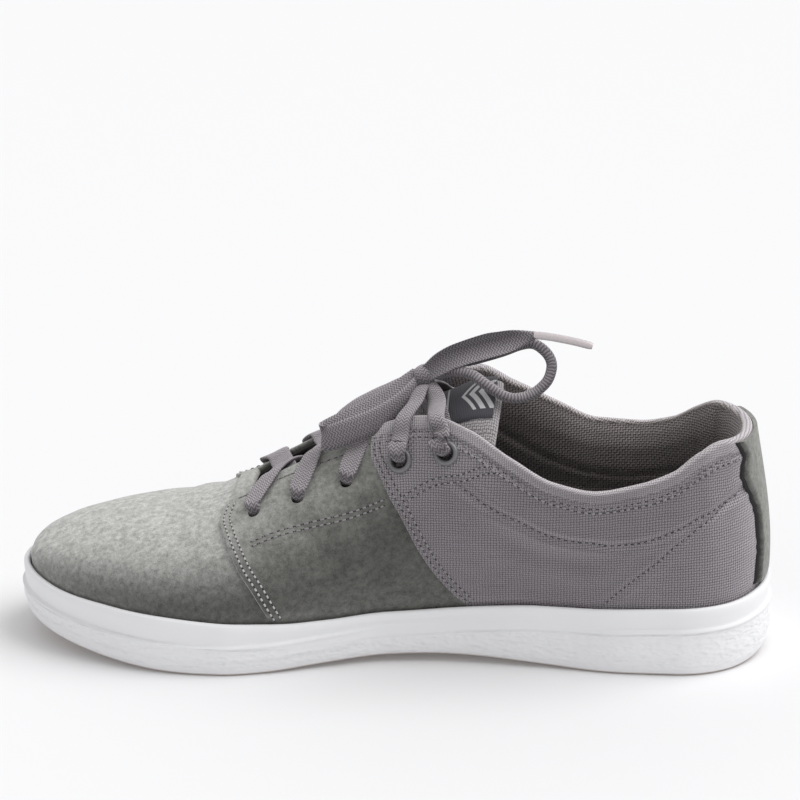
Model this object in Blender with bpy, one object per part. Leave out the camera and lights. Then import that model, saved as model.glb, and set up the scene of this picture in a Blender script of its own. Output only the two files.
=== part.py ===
# Low-top skateboarding shoe for the right foot, standing empty on its cupsole.
# Metres, +Z up. The toe points to -X, the inner (medial) side of the foot faces -Y,
# the floor is z = 0 and the origin is below the middle of the sole.
import bpy
import bmesh
import math
import numpy as np
from mathutils import Vector

# Driving sizes of the sole
length = 0.300            # outsole, heel to toe
ball_width = 0.1053       # outsole, widest place
instep_height = 0.104     # height that the top line's shares refer to
toe_spring = 0.0095       # lift of the sole under the toe tip
toe_spring_start = 0.74   # share of the length where the lift begins
heel_bevel = 0.002        # lift of the sole under the back of the heel
heel_bevel_end = 0.06
arch_lift = 0.0032        # lift of the inner edge at the waist
arch_outer_share = 0.35   # the outer edge lifts this share of it
arch_middle = 0.45
arch_reach = 0.24         # half the arch's length, as a share of the sole's
lip_width = 0.0024        # wall of the cup at its top
tread_rim = 0.004         # flat border round the tread
under_inset = 0.0022      # the tread is this much narrower than the side wall
foot_round = 0.0060       # height of the rounding between tread and side wall
ridge_below_lip = 0.0092  # raised line round the side wall
ridge_round = 0.0005      # half the height over which the line rises
ridge_out = 0.0007        # the wall below the line stands this much proud of the band
lip_round = 0.0030
lip_out = 0.0004          # the lip swells this much past the band below it
lip_edge = 0.0006         # rounding of the cup's inner edge
bed_front = 0.0075        # rubber under the insole at the ball
bed_heel = 0.0110
groove_depth = 0.0014     # flex grooves of the tread
groove_width = 0.0022
groove_margin = 0.0120    # uncut border round the grooves
groove_pitch = 0.035      # share of the length from one groove to the next
groove_rows = ((0.09, 5), (0.60, 9))   # where the rows under the heel and the ball begin, and their grooves

# Sizes of the upper and of what sits in it
clear = 0.0003            # gap between pieces that touch
wall = 0.0020             # lasted wall without padding
suede = 0.0013            # how far the mid panel's front edge stands proud
canvas = 0.0011           # how far the quarter's front edge stands proud
panel_fade = 0.10         # share of the length over which a panel settles down
panel_cut = 0.0004        # width of a panel's cut edge, seen from the side
panel_tuck = 0.07         # share of the way up where the panels come out of the cup
pad_depth = 0.0055        # extra thickness of the padded collar
rim_wall = 0.0042         # thickness of the collar's top edge
heel_lean = 0.0065        # how far the top of the heel leans forward
insole_thick = 0.0040
insole_gap = 0.0007       # round the insole
insole_round = 0.0012     # rounding of its upper edge
tongue_thick = 0.0050
tab_thick = 0.0014
tab_gap = 0.0005          # under the heel tab
tab_low = 0.03            # share of the way up where the tab begins
label_thick = 0.0008
label_gap = 0.0006        # under the label
hole_radius = 0.0026      # three punched pairs
eyelet_bore = 0.0029      # two ringed pairs
eyelet_barrel = 0.0036
eyelet_flange = 0.0050
eyelet_height = 0.0011
eyelet_seat = 0.0007      # the flange stands this high over the skin
eyelet_roll = 0.0004      # rounding of the flange
lace_width = 0.0084
lace_thick = 0.0014
lace_lift = 0.0018        # between the crossings and what they lie over
lace_layer = 0.0005       # a strand that crosses over another lies this much higher
lace_stagger = 0.0007     # a strand begins this far inside of where the last one ended
strand_steps = 20
least_bend = 0.0004       # a lace bends only where it would leave its straight line by this much
knot_meet = 0.0045        # the two top strands stop this far from the middle, under the knot
knot_rise = 0.0002        # and lie this much higher than the others
cord_radius = 0.0022      # the bow's lace, gathered into a round cord
cord_spacing = 2.6        # length of its straight stretches, in radii
knot_size = (0.0085, 0.0080, 0.0055)   # half the knot's length, width and height
knot_middle = (0.0120, -0.0010, 0.1117)
aglet_radius = 0.0015
aglet_length = 0.0230

# Outline of the sole: share of the length from the heel, half widths as shares of the ball width
outline = (
    # along, medial, lateral
    (0.00, 0.367, 0.341),
    (0.10, 0.372, 0.351),
    (0.18, 0.372, 0.362),
    (0.30, 0.331, 0.372),
    (0.42, 0.303, 0.387),
    (0.50, 0.320, 0.418),
    (0.58, 0.388, 0.454),
    (0.66, 0.468, 0.485),
    (0.72, 0.500, 0.500),
    (0.79, 0.492, 0.498),
    (0.90, 0.456, 0.469),
    (1.00, 0.430, 0.4385),
)
# Rounding of the outline's ends: share of the length that it takes, and its power
heel_end = (0.125, 2.0)
toe_end = {-1: (0.25, 2.1), 1: (0.30, 2.2)}

# Height of the side wall above the tread, in metres
side_wall = (
    # along, height
    (0.00, 0.0288),
    (0.10, 0.0283),
    (0.20, 0.0272),
    (0.30, 0.0250),
    (0.45, 0.0216),
    (0.60, 0.0212),
    (0.70, 0.0214),
    (0.85, 0.0212),
    (1.00, 0.0205),
)

# Top line of the upper's sides: collar, throat edge, then the shoulder of the vamp
top_line = (
    # along, medial and lateral half gap (of the ball width), medial and lateral height (of the instep)
    (0.000, 0.290, 0.270, 0.880, 0.880),
    (0.050, 0.290, 0.270, 0.890, 0.884),
    (0.087, 0.320, 0.305, 0.862, 0.846),
    (0.130, 0.360, 0.360, 0.795, 0.778),
    (0.180, 0.383, 0.402, 0.748, 0.744),
    (0.235, 0.387, 0.414, 0.720, 0.750),
    (0.290, 0.372, 0.395, 0.750, 0.822),
    (0.345, 0.340, 0.360, 0.835, 0.912),
    (0.400, 0.295, 0.320, 0.930, 0.990),
    (0.440, 0.240, 0.245, 0.960, 0.990),
    (0.478, 0.185, 0.185, 0.935, 0.935),
    (0.550, 0.140, 0.140, 0.830, 0.830),
    (0.640, 0.120, 0.120, 0.693, 0.693),
    (0.692, 0.112, 0.112, 0.600, 0.600),
    (0.740, 0.108, 0.108, 0.548, 0.548),
    (0.800, 0.100, 0.100, 0.515, 0.515),
    (0.860, 0.090, 0.090, 0.490, 0.490),
    (0.920, 0.075, 0.075, 0.452, 0.452),
    (0.960, 0.060, 0.060, 0.424, 0.424),
    (1.000, 0.045, 0.045, 0.415, 0.415),
)
throat_front = 0.688      # share of the length where the throat opens
top_heel_round = (0.085, 2.0)
top_toe_round = (0.20, 2.0)
toe_box_round = (0.07, 2.2)

# Shape of the side between the lip and the top line, as a curve with two handles
side_shape = (
    # along, lean out at the lip in degrees, low handle, fall at the top in degrees, top handle
    (0.00, 4, 0.35, 80, 0.35),
    (0.10, 4, 0.35, 86, 0.35),
    (0.20, 6, 0.35, 92, 0.35),
    (0.30, 7, 0.35, 80, 0.35),
    (0.40, 9, 0.36, 58, 0.35),
    (0.50, 12, 0.38, 38, 0.38),
    (0.60, 12, 0.40, 24, 0.42),
    (0.69, 11, 0.42, 12, 0.44),
    (0.74, 10, 0.42, 10, 0.45),
    (0.85, 10, 0.42, 10, 0.46),
    (1.00, 12, 0.42, 10, 0.48),
)
crown_blend = (0.55, 0.67)   # where the sections turn from the outline's normal to straight across

# Front edges of the two panels that lie over the vamp: share of the way up, share of the length
mid_edge = (
    # up, along
    (0.00, 0.648),
    (0.10, 0.661),
    (0.20, 0.673),
    (0.34, 0.690),
    (0.50, 0.704),
    (0.66, 0.716),
    (0.78, 0.722),
    (0.92, 0.717),
    (1.00, 0.708),
)
quarter_edge = (
    # up, along
    (0.00, 0.398),
    (0.16, 0.434),
    (0.29, 0.457),
    (0.51, 0.487),
    (0.63, 0.504),
    (0.75, 0.518),
    (0.86, 0.527),
    (0.95, 0.524),
    (1.00, 0.512),
)
# Heel tab: half its width along the outline, as an angle round the foot
tab_edge = (
    # up, angle in degrees
    (0.00, 13.5),
    (0.30, 12.0),
    (0.50, 12.5),
    (0.64, 15.0),
    (0.72, 17.5),
    (0.80, 18.5),
    (0.90, 16.5),
    (1.00, 19.5),
)
# Lace holes, the same on both sides: share of the length, share of the way up
holes = (
    # along, up, ringed
    (0.675, 0.76, False),
    (0.622, 0.76, False),
    (0.565, 0.775, False),
    (0.487, 0.785, True),
    (0.425, 0.84, True),
)
# Padded collar: share of the way up, share of the full padding
pad_shape = (
    # up, padding
    (0.00, 0.00),
    (0.44, 0.00),
    (0.54, 0.55),
    (0.66, 0.95),
    (0.80, 1.00),
    (0.92, 0.75),
    (1.00, 0.40),
)
pad_front = (0.46, 0.39)     # where the padding begins and where it is full, from the toe side

# Tongue: an arched strip. Heights are shares of the instep height, widths of the ball width
tongue_rows = (
    # along, half width, height of the crest, drop of its edges
    (0.735, 0.110, 0.520, 0.008),
    (0.690, 0.130, 0.573, 0.020),
    (0.640, 0.165, 0.650, 0.045),
    (0.560, 0.200, 0.780, 0.080),
    (0.490, 0.225, 0.890, 0.125),
    (0.430, 0.245, 0.968, 0.165),
    (0.380, 0.265, 1.025, 0.200),
    (0.357, 0.262, 1.030, 0.205),
)
label_along = (0.365, 0.440)
label_across = (-0.62, 0.62)

# The bow's routes, from the knot outwards, in metres
loop_left = (
    (0.0010, -0.0060, 0.1065),
    (-0.0060, -0.0105, 0.1010),
    (-0.0150, -0.0150, 0.0950),
    (-0.0250, -0.0175, 0.0910),
    (-0.0330, -0.0180, 0.0880),
    (-0.0375, -0.0150, 0.0890),
    (-0.0355, -0.0110, 0.0915),
    (-0.0270, -0.0090, 0.0950),
    (-0.0160, -0.0060, 0.0985),
    (-0.0060, -0.0025, 0.1040),
    (0.0000, -0.0010, 0.1090),
)
loop_right = (
    (0.0210, 0.0010, 0.1130),
    (0.0320, 0.0010, 0.1175),
    (0.0440, -0.0010, 0.1200),
    (0.0545, -0.0040, 0.1210),
    (0.0610, -0.0060, 0.1175),
    (0.0620, -0.0070, 0.1120),
    (0.0590, -0.0080, 0.1055),
    (0.0522, -0.0113, 0.1025),
    (0.0444, -0.0142, 0.1039),
    (0.0364, -0.0137, 0.1076),
    (0.0288, -0.0110, 0.1108),
    (0.0215, -0.0055, 0.1120),
)
end_right = (
    (0.0180, -0.0020, 0.1180),
    (0.0260, -0.0030, 0.1215),
    (0.0350, -0.0040, 0.1240),
    (0.0460, -0.0050, 0.1258),
    (0.0560, -0.0050, 0.1262),
)
end_left = (
    (0.0010, 0.0060, 0.1110),
    (-0.0080, 0.0080, 0.1075),
    (-0.0200, 0.0090, 0.1020),
    (-0.0290, 0.0125, 0.0965),
    (-0.0330, 0.0190, 0.0910),
    (-0.0320, 0.0260, 0.0860),
)

# How finely the curved pieces are cut
ring_steps = 84
vamp_cols = 13
front_cols = 2
mid_cols = 6
quarter_cols = 17
side_rows = 9
crown_rows = 4


# Curves and tables

def smooth(x, table, column):
    # smooth curve through a table's rows that never overshoots them
    xs = np.array([row[0] for row in table], float)
    ys = np.array([row[column] for row in table], float)
    if xs[0] > xs[-1]:
        xs, ys = xs[::-1], ys[::-1]
    x = np.asarray(x, float)
    step = np.diff(xs)
    rise = np.diff(ys) / step
    slope = np.zeros_like(ys)
    slope[0], slope[-1] = rise[0], rise[-1]
    for i in range(1, len(xs) - 1):
        if rise[i - 1] * rise[i] > 0:
            a = 2 * step[i] + step[i - 1]
            b = step[i] + 2 * step[i - 1]
            slope[i] = (a + b) / (a / rise[i - 1] + b / rise[i])
    k = np.clip(np.searchsorted(xs, x) - 1, 0, len(xs) - 2)
    s = np.clip((x - xs[k]) / step[k], 0, 1)
    return ((2 * s**3 - 3 * s**2 + 1) * ys[k] + (s**3 - 2 * s**2 + s) * step[k] * slope[k]
            + (3 * s**2 - 2 * s**3) * ys[k + 1] + (s**3 - s**2) * step[k] * slope[k + 1])


def ramp(x, start, end):
    # 0 at start, 1 at end, level at both
    s = np.clip((np.asarray(x, float) - start) / (end - start), 0, 1)
    return s * s * (3 - 2 * s)


def rounded(distance, reach, power):
    # quarter of a rounded end: 0 at the tip, 1 where the rounding is over
    c = np.clip(1 - np.asarray(distance, float) / reach, 0, 1)
    return (1 - c**power) ** (1 / power)


# The foot's plan. An angle phi runs round it: 0 at the heel, -pi or pi at the toe tip,
# negative along the medial side. along = (1 - cos phi) / 2 is the share of the length.

def along_of(phi):
    return (1 - np.cos(phi)) / 2


def phi_of(along, side):
    return side * np.arccos(np.clip(1 - 2 * np.asarray(along, float), -1, 1))


def side_of(phi):
    # -1 on the medial side, 1 on the lateral side, also for an angle that has run past the toe tip
    return np.where(np.sin(phi) < 0, -1, 1)


def edge(phi):
    # widest line of the side wall, in plan
    phi = np.asarray(phi, float)
    along = along_of(phi)
    side = side_of(phi)
    heel = rounded(along, *heel_end)
    medial = smooth(along, outline, 1) * rounded(1 - along, *toe_end[-1])
    lateral = smooth(along, outline, 2) * rounded(1 - along, *toe_end[1])
    half = np.where(side < 0, medial, lateral) * heel * ball_width
    return np.stack([(0.5 - along) * length, side * half], -1)


def outward(phi):
    # plan direction that points away from the foot
    nudge = 0.002
    d = edge(phi + nudge) - edge(phi - nudge)
    n = np.stack([d[..., 1], -d[..., 0]], -1)
    n = n / np.linalg.norm(n, axis=-1)[..., None]
    return n


def tread_z(phi):
    # underside of the sole at its edge: flat under ball and heel
    along = along_of(phi)
    toe = toe_spring * np.clip((along - toe_spring_start) / (1 - toe_spring_start), 0, 1) ** 2
    heel = heel_bevel * np.clip((heel_bevel_end - along) / heel_bevel_end, 0, 1) ** 2
    arch = np.clip(1 - ((along - arch_middle) / arch_reach) ** 2, 0, 1) ** 2
    share = arch_outer_share + (1 - arch_outer_share) * (0.5 - 0.5 * np.clip(np.sin(phi) * 3, -1, 1))
    return toe + heel + arch_lift * arch * share


def wall_height(phi):
    return smooth(along_of(phi), side_wall, 1)


def ring(phi, inset, z):
    # points round the foot at an inset from the widest line
    p = edge(phi) - outward(phi) * np.asarray(inset)[..., None]
    return np.concatenate([p, np.broadcast_to(z, phi.shape)[..., None]], -1)


def bed_z(phi):
    # floor of the cup, under the insole
    along = along_of(phi)
    middle = 0.5 * (tread_z(phi) + tread_z(-phi))
    return middle + bed_heel + (bed_front - bed_heel) * ramp(along, 0.25, 0.62)


# The upper's outer form, shared by upper, heel tab, eyelets, laces and tongue

def lip_point(phi):
    return ring(phi, np.full(phi.shape, lip_width + clear), tread_z(phi) + wall_height(phi))


def top_point(phi):
    along = along_of(phi)
    side = side_of(phi)
    medial = side < 0
    gap = np.where(medial, smooth(along, top_line, 1), smooth(along, top_line, 2)) * ball_width
    gap = gap * rounded(along, *top_heel_round) * rounded(1 - along, *top_toe_round)
    height = np.where(medial, smooth(along, top_line, 3), smooth(along, top_line, 4)) * instep_height
    base = 0.5 * (tread_z(phi) + tread_z(-phi)) + wall_height(phi)
    height = base + (height - base) * rounded(1 - along, *toe_box_round)
    x = lip_point(phi)[..., 0] - heel_lean * np.clip(1 - along / 0.15, 0, 1) ** 1.5
    return np.stack([x, side * gap, height], -1)


def fall_angle(phi):
    return np.radians(smooth(along_of(phi), side_shape, 3))


def skin(phi, up):
    # point of the upper's outer surface: up is 0 at the lip and 1 at the top line
    phi, up = np.broadcast_arrays(np.asarray(phi, float), np.asarray(up, float))
    along = along_of(phi)
    low, top = lip_point(phi), top_point(phi)
    n = outward(phi)
    side = side_of(phi)
    lean = np.radians(smooth(along, side_shape, 1))
    fall = fall_angle(phi)
    chord = np.linalg.norm(top - low, axis=-1)[..., None]
    rise = np.stack([np.sin(lean) * n[..., 0], np.sin(lean) * n[..., 1], np.cos(lean)], -1)
    across = ramp(along, *crown_blend)[..., None]
    d = n * (1 - across) + np.stack([np.zeros_like(along), side], -1) * across
    d = d / np.linalg.norm(d, axis=-1)[..., None]
    drop = np.stack([np.cos(fall) * d[..., 0], np.cos(fall) * d[..., 1], -np.sin(fall)], -1)
    handle_low = low + rise * smooth(along, side_shape, 2)[..., None] * chord
    handle_top = top + drop * smooth(along, side_shape, 4)[..., None] * chord
    s = up[..., None]
    return ((1 - s)**3 * low + 3 * (1 - s)**2 * s * handle_low
            + 3 * (1 - s) * s**2 * handle_top + s**3 * top)


def crown(along, across):
    # strip over the ridge of the vamp between the two top lines, across from -1 medial to 1 lateral
    along, across = np.broadcast_arrays(np.asarray(along, float), np.asarray(across, float))
    a = top_point(phi_of(along, -1))
    b = top_point(phi_of(along, 1))
    p = a * (0.5 - 0.5 * across)[..., None] + b * (0.5 + 0.5 * across)[..., None]
    half = 0.5 * (b[..., 1] - a[..., 1])
    p[..., 2] += half * np.tan(fall_angle(phi_of(along, 1))) / 2 * (1 - across**2)
    return p


def unit(v):
    return v / np.maximum(np.linalg.norm(v, axis=-1), 1e-12)[..., None]


def skin_normal(phi, up):
    step = 0.004
    du = skin(phi + step, up) - skin(phi - step, up)
    lo = np.clip(up - step, 0, 1)
    hi = np.clip(up + step, 0, 1)
    return unit(np.cross(du, skin(phi, hi) - skin(phi, lo)))


def crown_normal(along, across):
    step = 0.002
    lo = np.clip(along - step, 0, 1)
    hi = np.clip(along + step, 0, 1)
    du = crown(lo, across) - crown(hi, across)
    return unit(np.cross(du, crown(along, across + step) - crown(along, across - step)))


def panel_step(along, up):
    # how far the panels stand off the vamp, largest at their own front edges
    first = smooth(up, mid_edge, 1)
    second = smooth(up, quarter_edge, 1)
    on_mid = along <= first + 1e-9
    on_quarter = along <= second + 1e-9
    mid = suede * (1 - 0.6 * ramp(first - along, 0, panel_fade))
    left = suede * (1 - 0.6 * ramp(first - second, 0, panel_fade))
    quarter = (left + canvas) * (1 - 0.8 * ramp(second - along, 0, 1.6 * panel_fade))
    tucked = ramp(up, 0, panel_tuck)
    return np.where(on_quarter, quarter, np.where(on_mid, mid, 0.0)) * tucked


def wall_at(along, up):
    # thickness of the upper, with its padded collar
    collar = ramp(along, *pad_front)
    pad = pad_depth * smooth(up, pad_shape, 1)
    return wall + collar * np.where(up > 0.999, rim_wall - wall, pad)


# Mesh helpers

def collection(name, inside=None):
    c = bpy.data.collections.new(name)
    (inside or bpy.context.scene.collection).children.link(c)
    return c


def material(name, colour, roughness, metallic=0.0):
    m = bpy.data.materials.new(name)
    m.use_nodes = True
    shader = m.node_tree.nodes["Principled BSDF"]
    shader.inputs["Base Color"].default_value = (*colour, 1.0)
    shader.inputs["Roughness"].default_value = roughness
    shader.inputs["Metallic"].default_value = metallic
    return m


def place(name, mesh, mat, group, smooth_angle=40):
    o = bpy.data.objects.new(name, mesh)
    group.objects.link(o)
    mesh.materials.clear()
    mesh.materials.append(mat)
    mesh.shade_smooth()
    mesh.set_sharp_from_angle(angle=math.radians(smooth_angle))
    return o


def mesh_of(name, verts, faces, weld=1e-5, flat_faces=False):
    bm = bmesh.new()
    vs = [bm.verts.new(v) for v in verts]
    for f in faces:
        corners = list(dict.fromkeys(f))
        if len(corners) > 2:
            bm.faces.new([vs[i] for i in corners])
    bmesh.ops.remove_doubles(bm, verts=bm.verts, dist=weld)
    bmesh.ops.dissolve_degenerate(bm, edges=bm.edges, dist=weld)
    if flat_faces:
        bmesh.ops.triangulate(bm, faces=bm.faces)
    bmesh.ops.recalc_face_normals(bm, faces=bm.faces)
    mesh = bpy.data.meshes.new(name)
    bm.to_mesh(mesh)
    bm.free()
    return mesh


def loft(rows, closed_rows=True, closed_ends=False):
    # faces between equal rows of points; closed_ends joins the last row to the first
    rows = [np.asarray(r, float) for r in rows]
    n = len(rows[0])
    verts = [tuple(p) for r in rows for p in r]
    faces = []
    last = len(rows) if closed_ends else len(rows) - 1
    for i in range(last):
        a, b = i * n, ((i + 1) % len(rows)) * n
        for j in range(n if closed_rows else n - 1):
            k = (j + 1) % n
            faces.append((a + j, a + k, b + k, b + j))
    return verts, faces


def across_cap(start, count):
    # closes a ring that starts at the heel with strips from side to side
    faces = []
    for j in range(count // 2):
        a, b = start + j, start + j + 1
        c, d = start + (count - j - 1) % count, start + (count - j) % count
        faces.append((a, b, c, d))
    return faces


def apply_boolean(target, cutter, operation):
    m = target.modifiers.new(cutter.name, 'BOOLEAN')
    m.operation = operation
    m.object = cutter
    return m


# Pieces

def make_sole(mat, group, cutters):
    phi = np.linspace(0, 2 * np.pi, ring_steps, endpoint=False)
    tread = tread_z(phi)
    lip = tread + wall_height(phi)
    ridge = lip - ridge_below_lip
    level = np.zeros(ring_steps)
    bed = bed_z(phi)
    rows = [
        (under_inset + tread_rim + level, tread),
        (under_inset + level, tread),
        (0.35 * under_inset + level, tread + 0.25 * foot_round),
        (level, tread + foot_round),
        (level, ridge - ridge_round),
        (ridge_out + level, ridge + ridge_round),
        (ridge_out + level, lip - lip_round),
        (ridge_out + lip_out + level, lip - 0.25 * lip_round),
        (lip_width - lip_edge + level, lip),
        (lip_width + level, lip - 0.1 * lip_round),
        (lip_width + level, bed),
    ]
    verts, faces = loft([ring(phi, inset, z) for inset, z in rows])
    faces += across_cap(0, ring_steps)
    faces += across_cap((len(rows) - 1) * ring_steps, ring_steps)
    sole = place("cupsole", mesh_of("cupsole", verts, faces), mat, group)
    cutter = groove_cutter(cutters)
    apply_boolean(sole, cutter, 'DIFFERENCE')
    return sole


def groove_cutter(cutters):
    # straight bars across the tread, a row under the ball and a row under the heel
    spots = [first + groove_pitch * i for first, count in groove_rows for i in range(count)]
    bm = bmesh.new()
    for along in spots:
        ends = []
        for side in (-1, 1):
            p = phi_of(along, side)
            ends.append(edge(p)[1] - side * groove_margin)
        z = max(float(tread_z(phi_of(along, s))) for s in (-1, 1)) + groove_depth
        tall = 4 * groove_depth
        box = bmesh.ops.create_cube(bm, size=1.0)["verts"]
        bmesh.ops.scale(bm, verts=box, vec=(groove_width, ends[1] - ends[0], tall))
        middle = ((0.5 - along) * length, (ends[0] + ends[1]) / 2, z - tall / 2)
        bmesh.ops.translate(bm, verts=box, vec=middle)
    mesh = bpy.data.meshes.new("tread_grooves")
    bm.to_mesh(mesh)
    bm.free()
    return hide(bpy.data.objects.new("tread_grooves", mesh), cutters)


def hide(o, cutters):
    cutters.objects.link(o)
    o.hide_render = True
    o.display_type = 'WIRE'
    return o


def upper_columns():
    # lines that run up the side: each gives the share of the length at every height
    rows = np.linspace(0, 1, side_rows + 1)
    first = smooth(rows, mid_edge, 1)
    second = smooth(rows, quarter_edge, 1)
    throat = first - (first[-1] - throat_front)
    sliver = panel_cut / length
    stops = [np.ones_like(rows), first + sliver, first, throat, second + sliver, second, np.zeros_like(rows)]
    counts = [vamp_cols, 1, front_cols, mid_cols, 1, quarter_cols]
    columns = []
    for a, b, n in zip(stops[:-1], stops[1:], counts):
        angle_a, angle_b = phi_of(a, 1), phi_of(b, 1)
        for i in range(n):
            columns.append(angle_a + (angle_b - angle_a) * i / n)
    columns.append(phi_of(stops[-1], 1))
    throat_column = vamp_cols + 1 + front_cols
    return rows, columns, throat_column


def side_points(angle, rows, side, inner):
    # one column on one side: skirt in the cup, then the side up to the top line
    phi = side * angle
    along = along_of(phi)
    p = skin(phi, rows)
    tip = angle[0] > math.pi - 1e-6
    foot = np.concatenate([outward(phi[:1])[0], [0.0]])
    n = np.broadcast_to(foot, p.shape) if tip else skin_normal(phi, rows)
    out = p + n * panel_step(along, rows)[..., None]
    if inner:
        out = p - n * wall_at(along, rows)[..., None]
        out[0] = p[0] - foot * wall
    skirt = out[0].copy()
    skirt[2] = bed_z(phi[:1])[0] + clear
    return np.vstack([skirt, out])


def crown_points(along, inner):
    across = np.linspace(-1, 1, crown_rows + 1)[1:-1]
    p = crown(along, across)
    n = crown_normal(np.full(across.shape, along), across)
    if along > 1 - 1e-6:
        n = np.broadcast_to(np.array([-1.0, 0.0, 0.0]), p.shape)
    if inner:
        return p - n * wall
    return p + n * panel_step(np.full(across.shape, along), np.ones(across.shape))[..., None]


def make_upper(mat, group, cutters):
    rows, columns, throat_column = upper_columns()
    verts, index = [], {}

    def add(key, p):
        index[key] = len(verts)
        verts.append(tuple(p))

    side_count = len(rows) + 1
    for c, angle in enumerate(columns):
        for layer in (0, 1):
            medial = side_points(angle, rows, -1, layer)
            lateral = side_points(angle, rows, 1, layer)
            for r in range(side_count):
                add((layer, c, r), medial[r])
                add((layer, c, 2 * side_count + crown_rows - 2 - r), lateral[r])
            if c <= throat_column:
                for r, p in enumerate(crown_points(along_of(angle[-1]), layer)):
                    add((layer, c, side_count + r), p)
    last = 2 * side_count + crown_rows - 2
    tops = (side_count - 1, last - side_count + 1)
    for c in range(throat_column, len(columns)):
        for r in tops:
            outer = np.array(verts[index[0, c, r]])
            inner = np.array(verts[index[1, c, r]])
            below = np.array(verts[index[0, c, r - 1 if r == tops[0] else r + 1]])
            lift = unit(outer - below) * 0.3 * np.linalg.norm(outer - inner)
            add((2, c, r), (outer + inner) / 2 + lift)
    faces = []

    def quad(*keys):
        if all(k in index for k in keys):
            faces.append(tuple(index[k] for k in keys))

    for c in range(len(columns) - 1):
        for r in range(last):
            open_gap = c >= throat_column and tops[0] <= r < tops[1]
            if open_gap:
                continue
            quad((0, c, r), (0, c + 1, r), (0, c + 1, r + 1), (0, c, r + 1))
            quad((1, c, r), (1, c, r + 1), (1, c + 1, r + 1), (1, c + 1, r))
        for r in (0, last):
            quad((0, c, r), (1, c, r), (1, c + 1, r), (0, c + 1, r))
        if c >= throat_column:
            for r in tops:
                quad((0, c, r), (0, c + 1, r), (2, c + 1, r), (2, c, r))
                quad((2, c, r), (2, c + 1, r), (1, c + 1, r), (1, c, r))
    c = throat_column
    for r in range(tops[0], tops[1]):
        quad((0, c, r), (1, c, r), (1, c, r + 1), (0, c, r + 1))
    for r in tops:
        faces.append((index[0, c, r], index[2, c, r], index[1, c, r]))
    upper = place("upper", mesh_of("upper", verts, faces), mat, group)
    for cutter in hole_cutters(cutters):
        apply_boolean(upper, cutter, 'DIFFERENCE')
    return upper


def hole_frame(along, up, side):
    # middle and outward direction of a lace hole on the finished panels
    phi = phi_of(along, side)
    n = skin_normal(phi, up)
    return skin(phi, up) + n * panel_step(along, up), n


def hole_cutters(cutters):
    made = []
    for i, (along, up, ringed) in enumerate(holes):
        for side, word in ((-1, "medial"), (1, "lateral")):
            p, n = hole_frame(along, up, side)
            radius = eyelet_barrel + clear if ringed else hole_radius
            bm = bmesh.new()
            bmesh.ops.create_cone(bm, cap_ends=True, segments=14, radius1=radius, radius2=radius, depth=0.03)
            turn = Vector((0, 0, 1)).rotation_difference(Vector(n)).to_matrix().to_4x4()
            bmesh.ops.transform(bm, matrix=turn, verts=bm.verts)
            bmesh.ops.translate(bm, vec=Vector(p), verts=bm.verts)
            name = f"hole_{i + 1}_{word}"
            mesh = bpy.data.meshes.new(name)
            bm.to_mesh(mesh)
            bm.free()
            made.append(hide(bpy.data.objects.new(name, mesh), cutters))
    return made


def make_insole(mat, group):
    phi = np.linspace(0, 2 * np.pi, ring_steps, endpoint=False)
    inset = np.full(phi.shape, lip_width + clear + wall + insole_gap)
    base = bed_z(phi) + clear
    rows = [
        (inset, base),
        (inset, base + insole_thick - insole_round),
        (inset + insole_round, base + insole_thick),
    ]
    verts, faces = loft([ring(phi, i, z) for i, z in rows])
    faces += across_cap(0, len(phi))
    faces += across_cap((len(rows) - 1) * len(phi), len(phi))
    return place("insole", mesh_of("insole", verts, faces), mat, group)


def tongue_point(along, across, depth):
    # across -1 to 1; depth is measured down from the tongue's upper face
    half = smooth(along, tongue_rows, 1) * ball_width
    crest = smooth(along, tongue_rows, 2) * instep_height
    drop = smooth(along, tongue_rows, 3) * instep_height
    a = np.abs(across)
    return np.stack([(0.5 - along) * length + 0 * a, half * across, crest - drop * a**2 - depth], -1)


def make_tongue(mat, group):
    along = np.linspace(tongue_rows[0][0], tongue_rows[-1][0], 15)
    across = np.linspace(-1, 1, 11)
    edge_round = rounded(1 - np.abs(across), 0.25, 2.0)
    rings = []
    for i, u in enumerate(along):
        end = 1.0 if 0 < i < len(along) - 1 else 0.55
        thick = tongue_thick * (0.35 + 0.65 * edge_round) * end
        middle = tongue_thick / 2
        upper_face = tongue_point(u, across, middle - thick / 2)
        lower_face = tongue_point(u, across, middle + thick / 2)[::-1]
        rings.append(np.vstack([upper_face, lower_face]))
    verts, faces = loft(rings)
    n = len(rings[0])
    for start in (0, (len(rings) - 1) * n):
        for j in range(n // 2 - 1):
            faces.append((start + j, start + j + 1, start + n - j - 2, start + n - j - 1))
    return place("tongue", mesh_of("tongue", verts, faces), mat, group)


def shell(name, outer, inner, mat, group):
    # closed thin piece from two equal grids of points
    rows, cols = outer.shape[:2]
    rings = []
    for r in range(rows):
        rings.append(np.vstack([outer[r], inner[r][::-1]]))
    verts, faces = loft(rings)
    n = 2 * cols
    for start in (0, (rows - 1) * n):
        for j in range(cols - 1):
            faces.append((start + j, start + j + 1, start + n - j - 2, start + n - j - 1))
    return place(name, mesh_of(name, verts, faces), mat, group)


def make_heel_tab(mat, group):
    up = np.linspace(tab_low, 1.0, 12)
    outer, inner = [], []
    for u in up:
        reach = math.radians(float(smooth(u, tab_edge, 1)))
        phi = np.linspace(-reach, reach, 9)
        level = np.full(phi.shape, u)
        p = skin(phi, level)
        n = skin_normal(phi, level)
        lift = panel_step(along_of(phi), level) + tab_gap
        inner.append(p + n * lift[..., None])
        outer.append(p + n * (lift + tab_thick)[..., None])
    return shell("heel_tab", np.array(outer), np.array(inner), mat, group)


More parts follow.
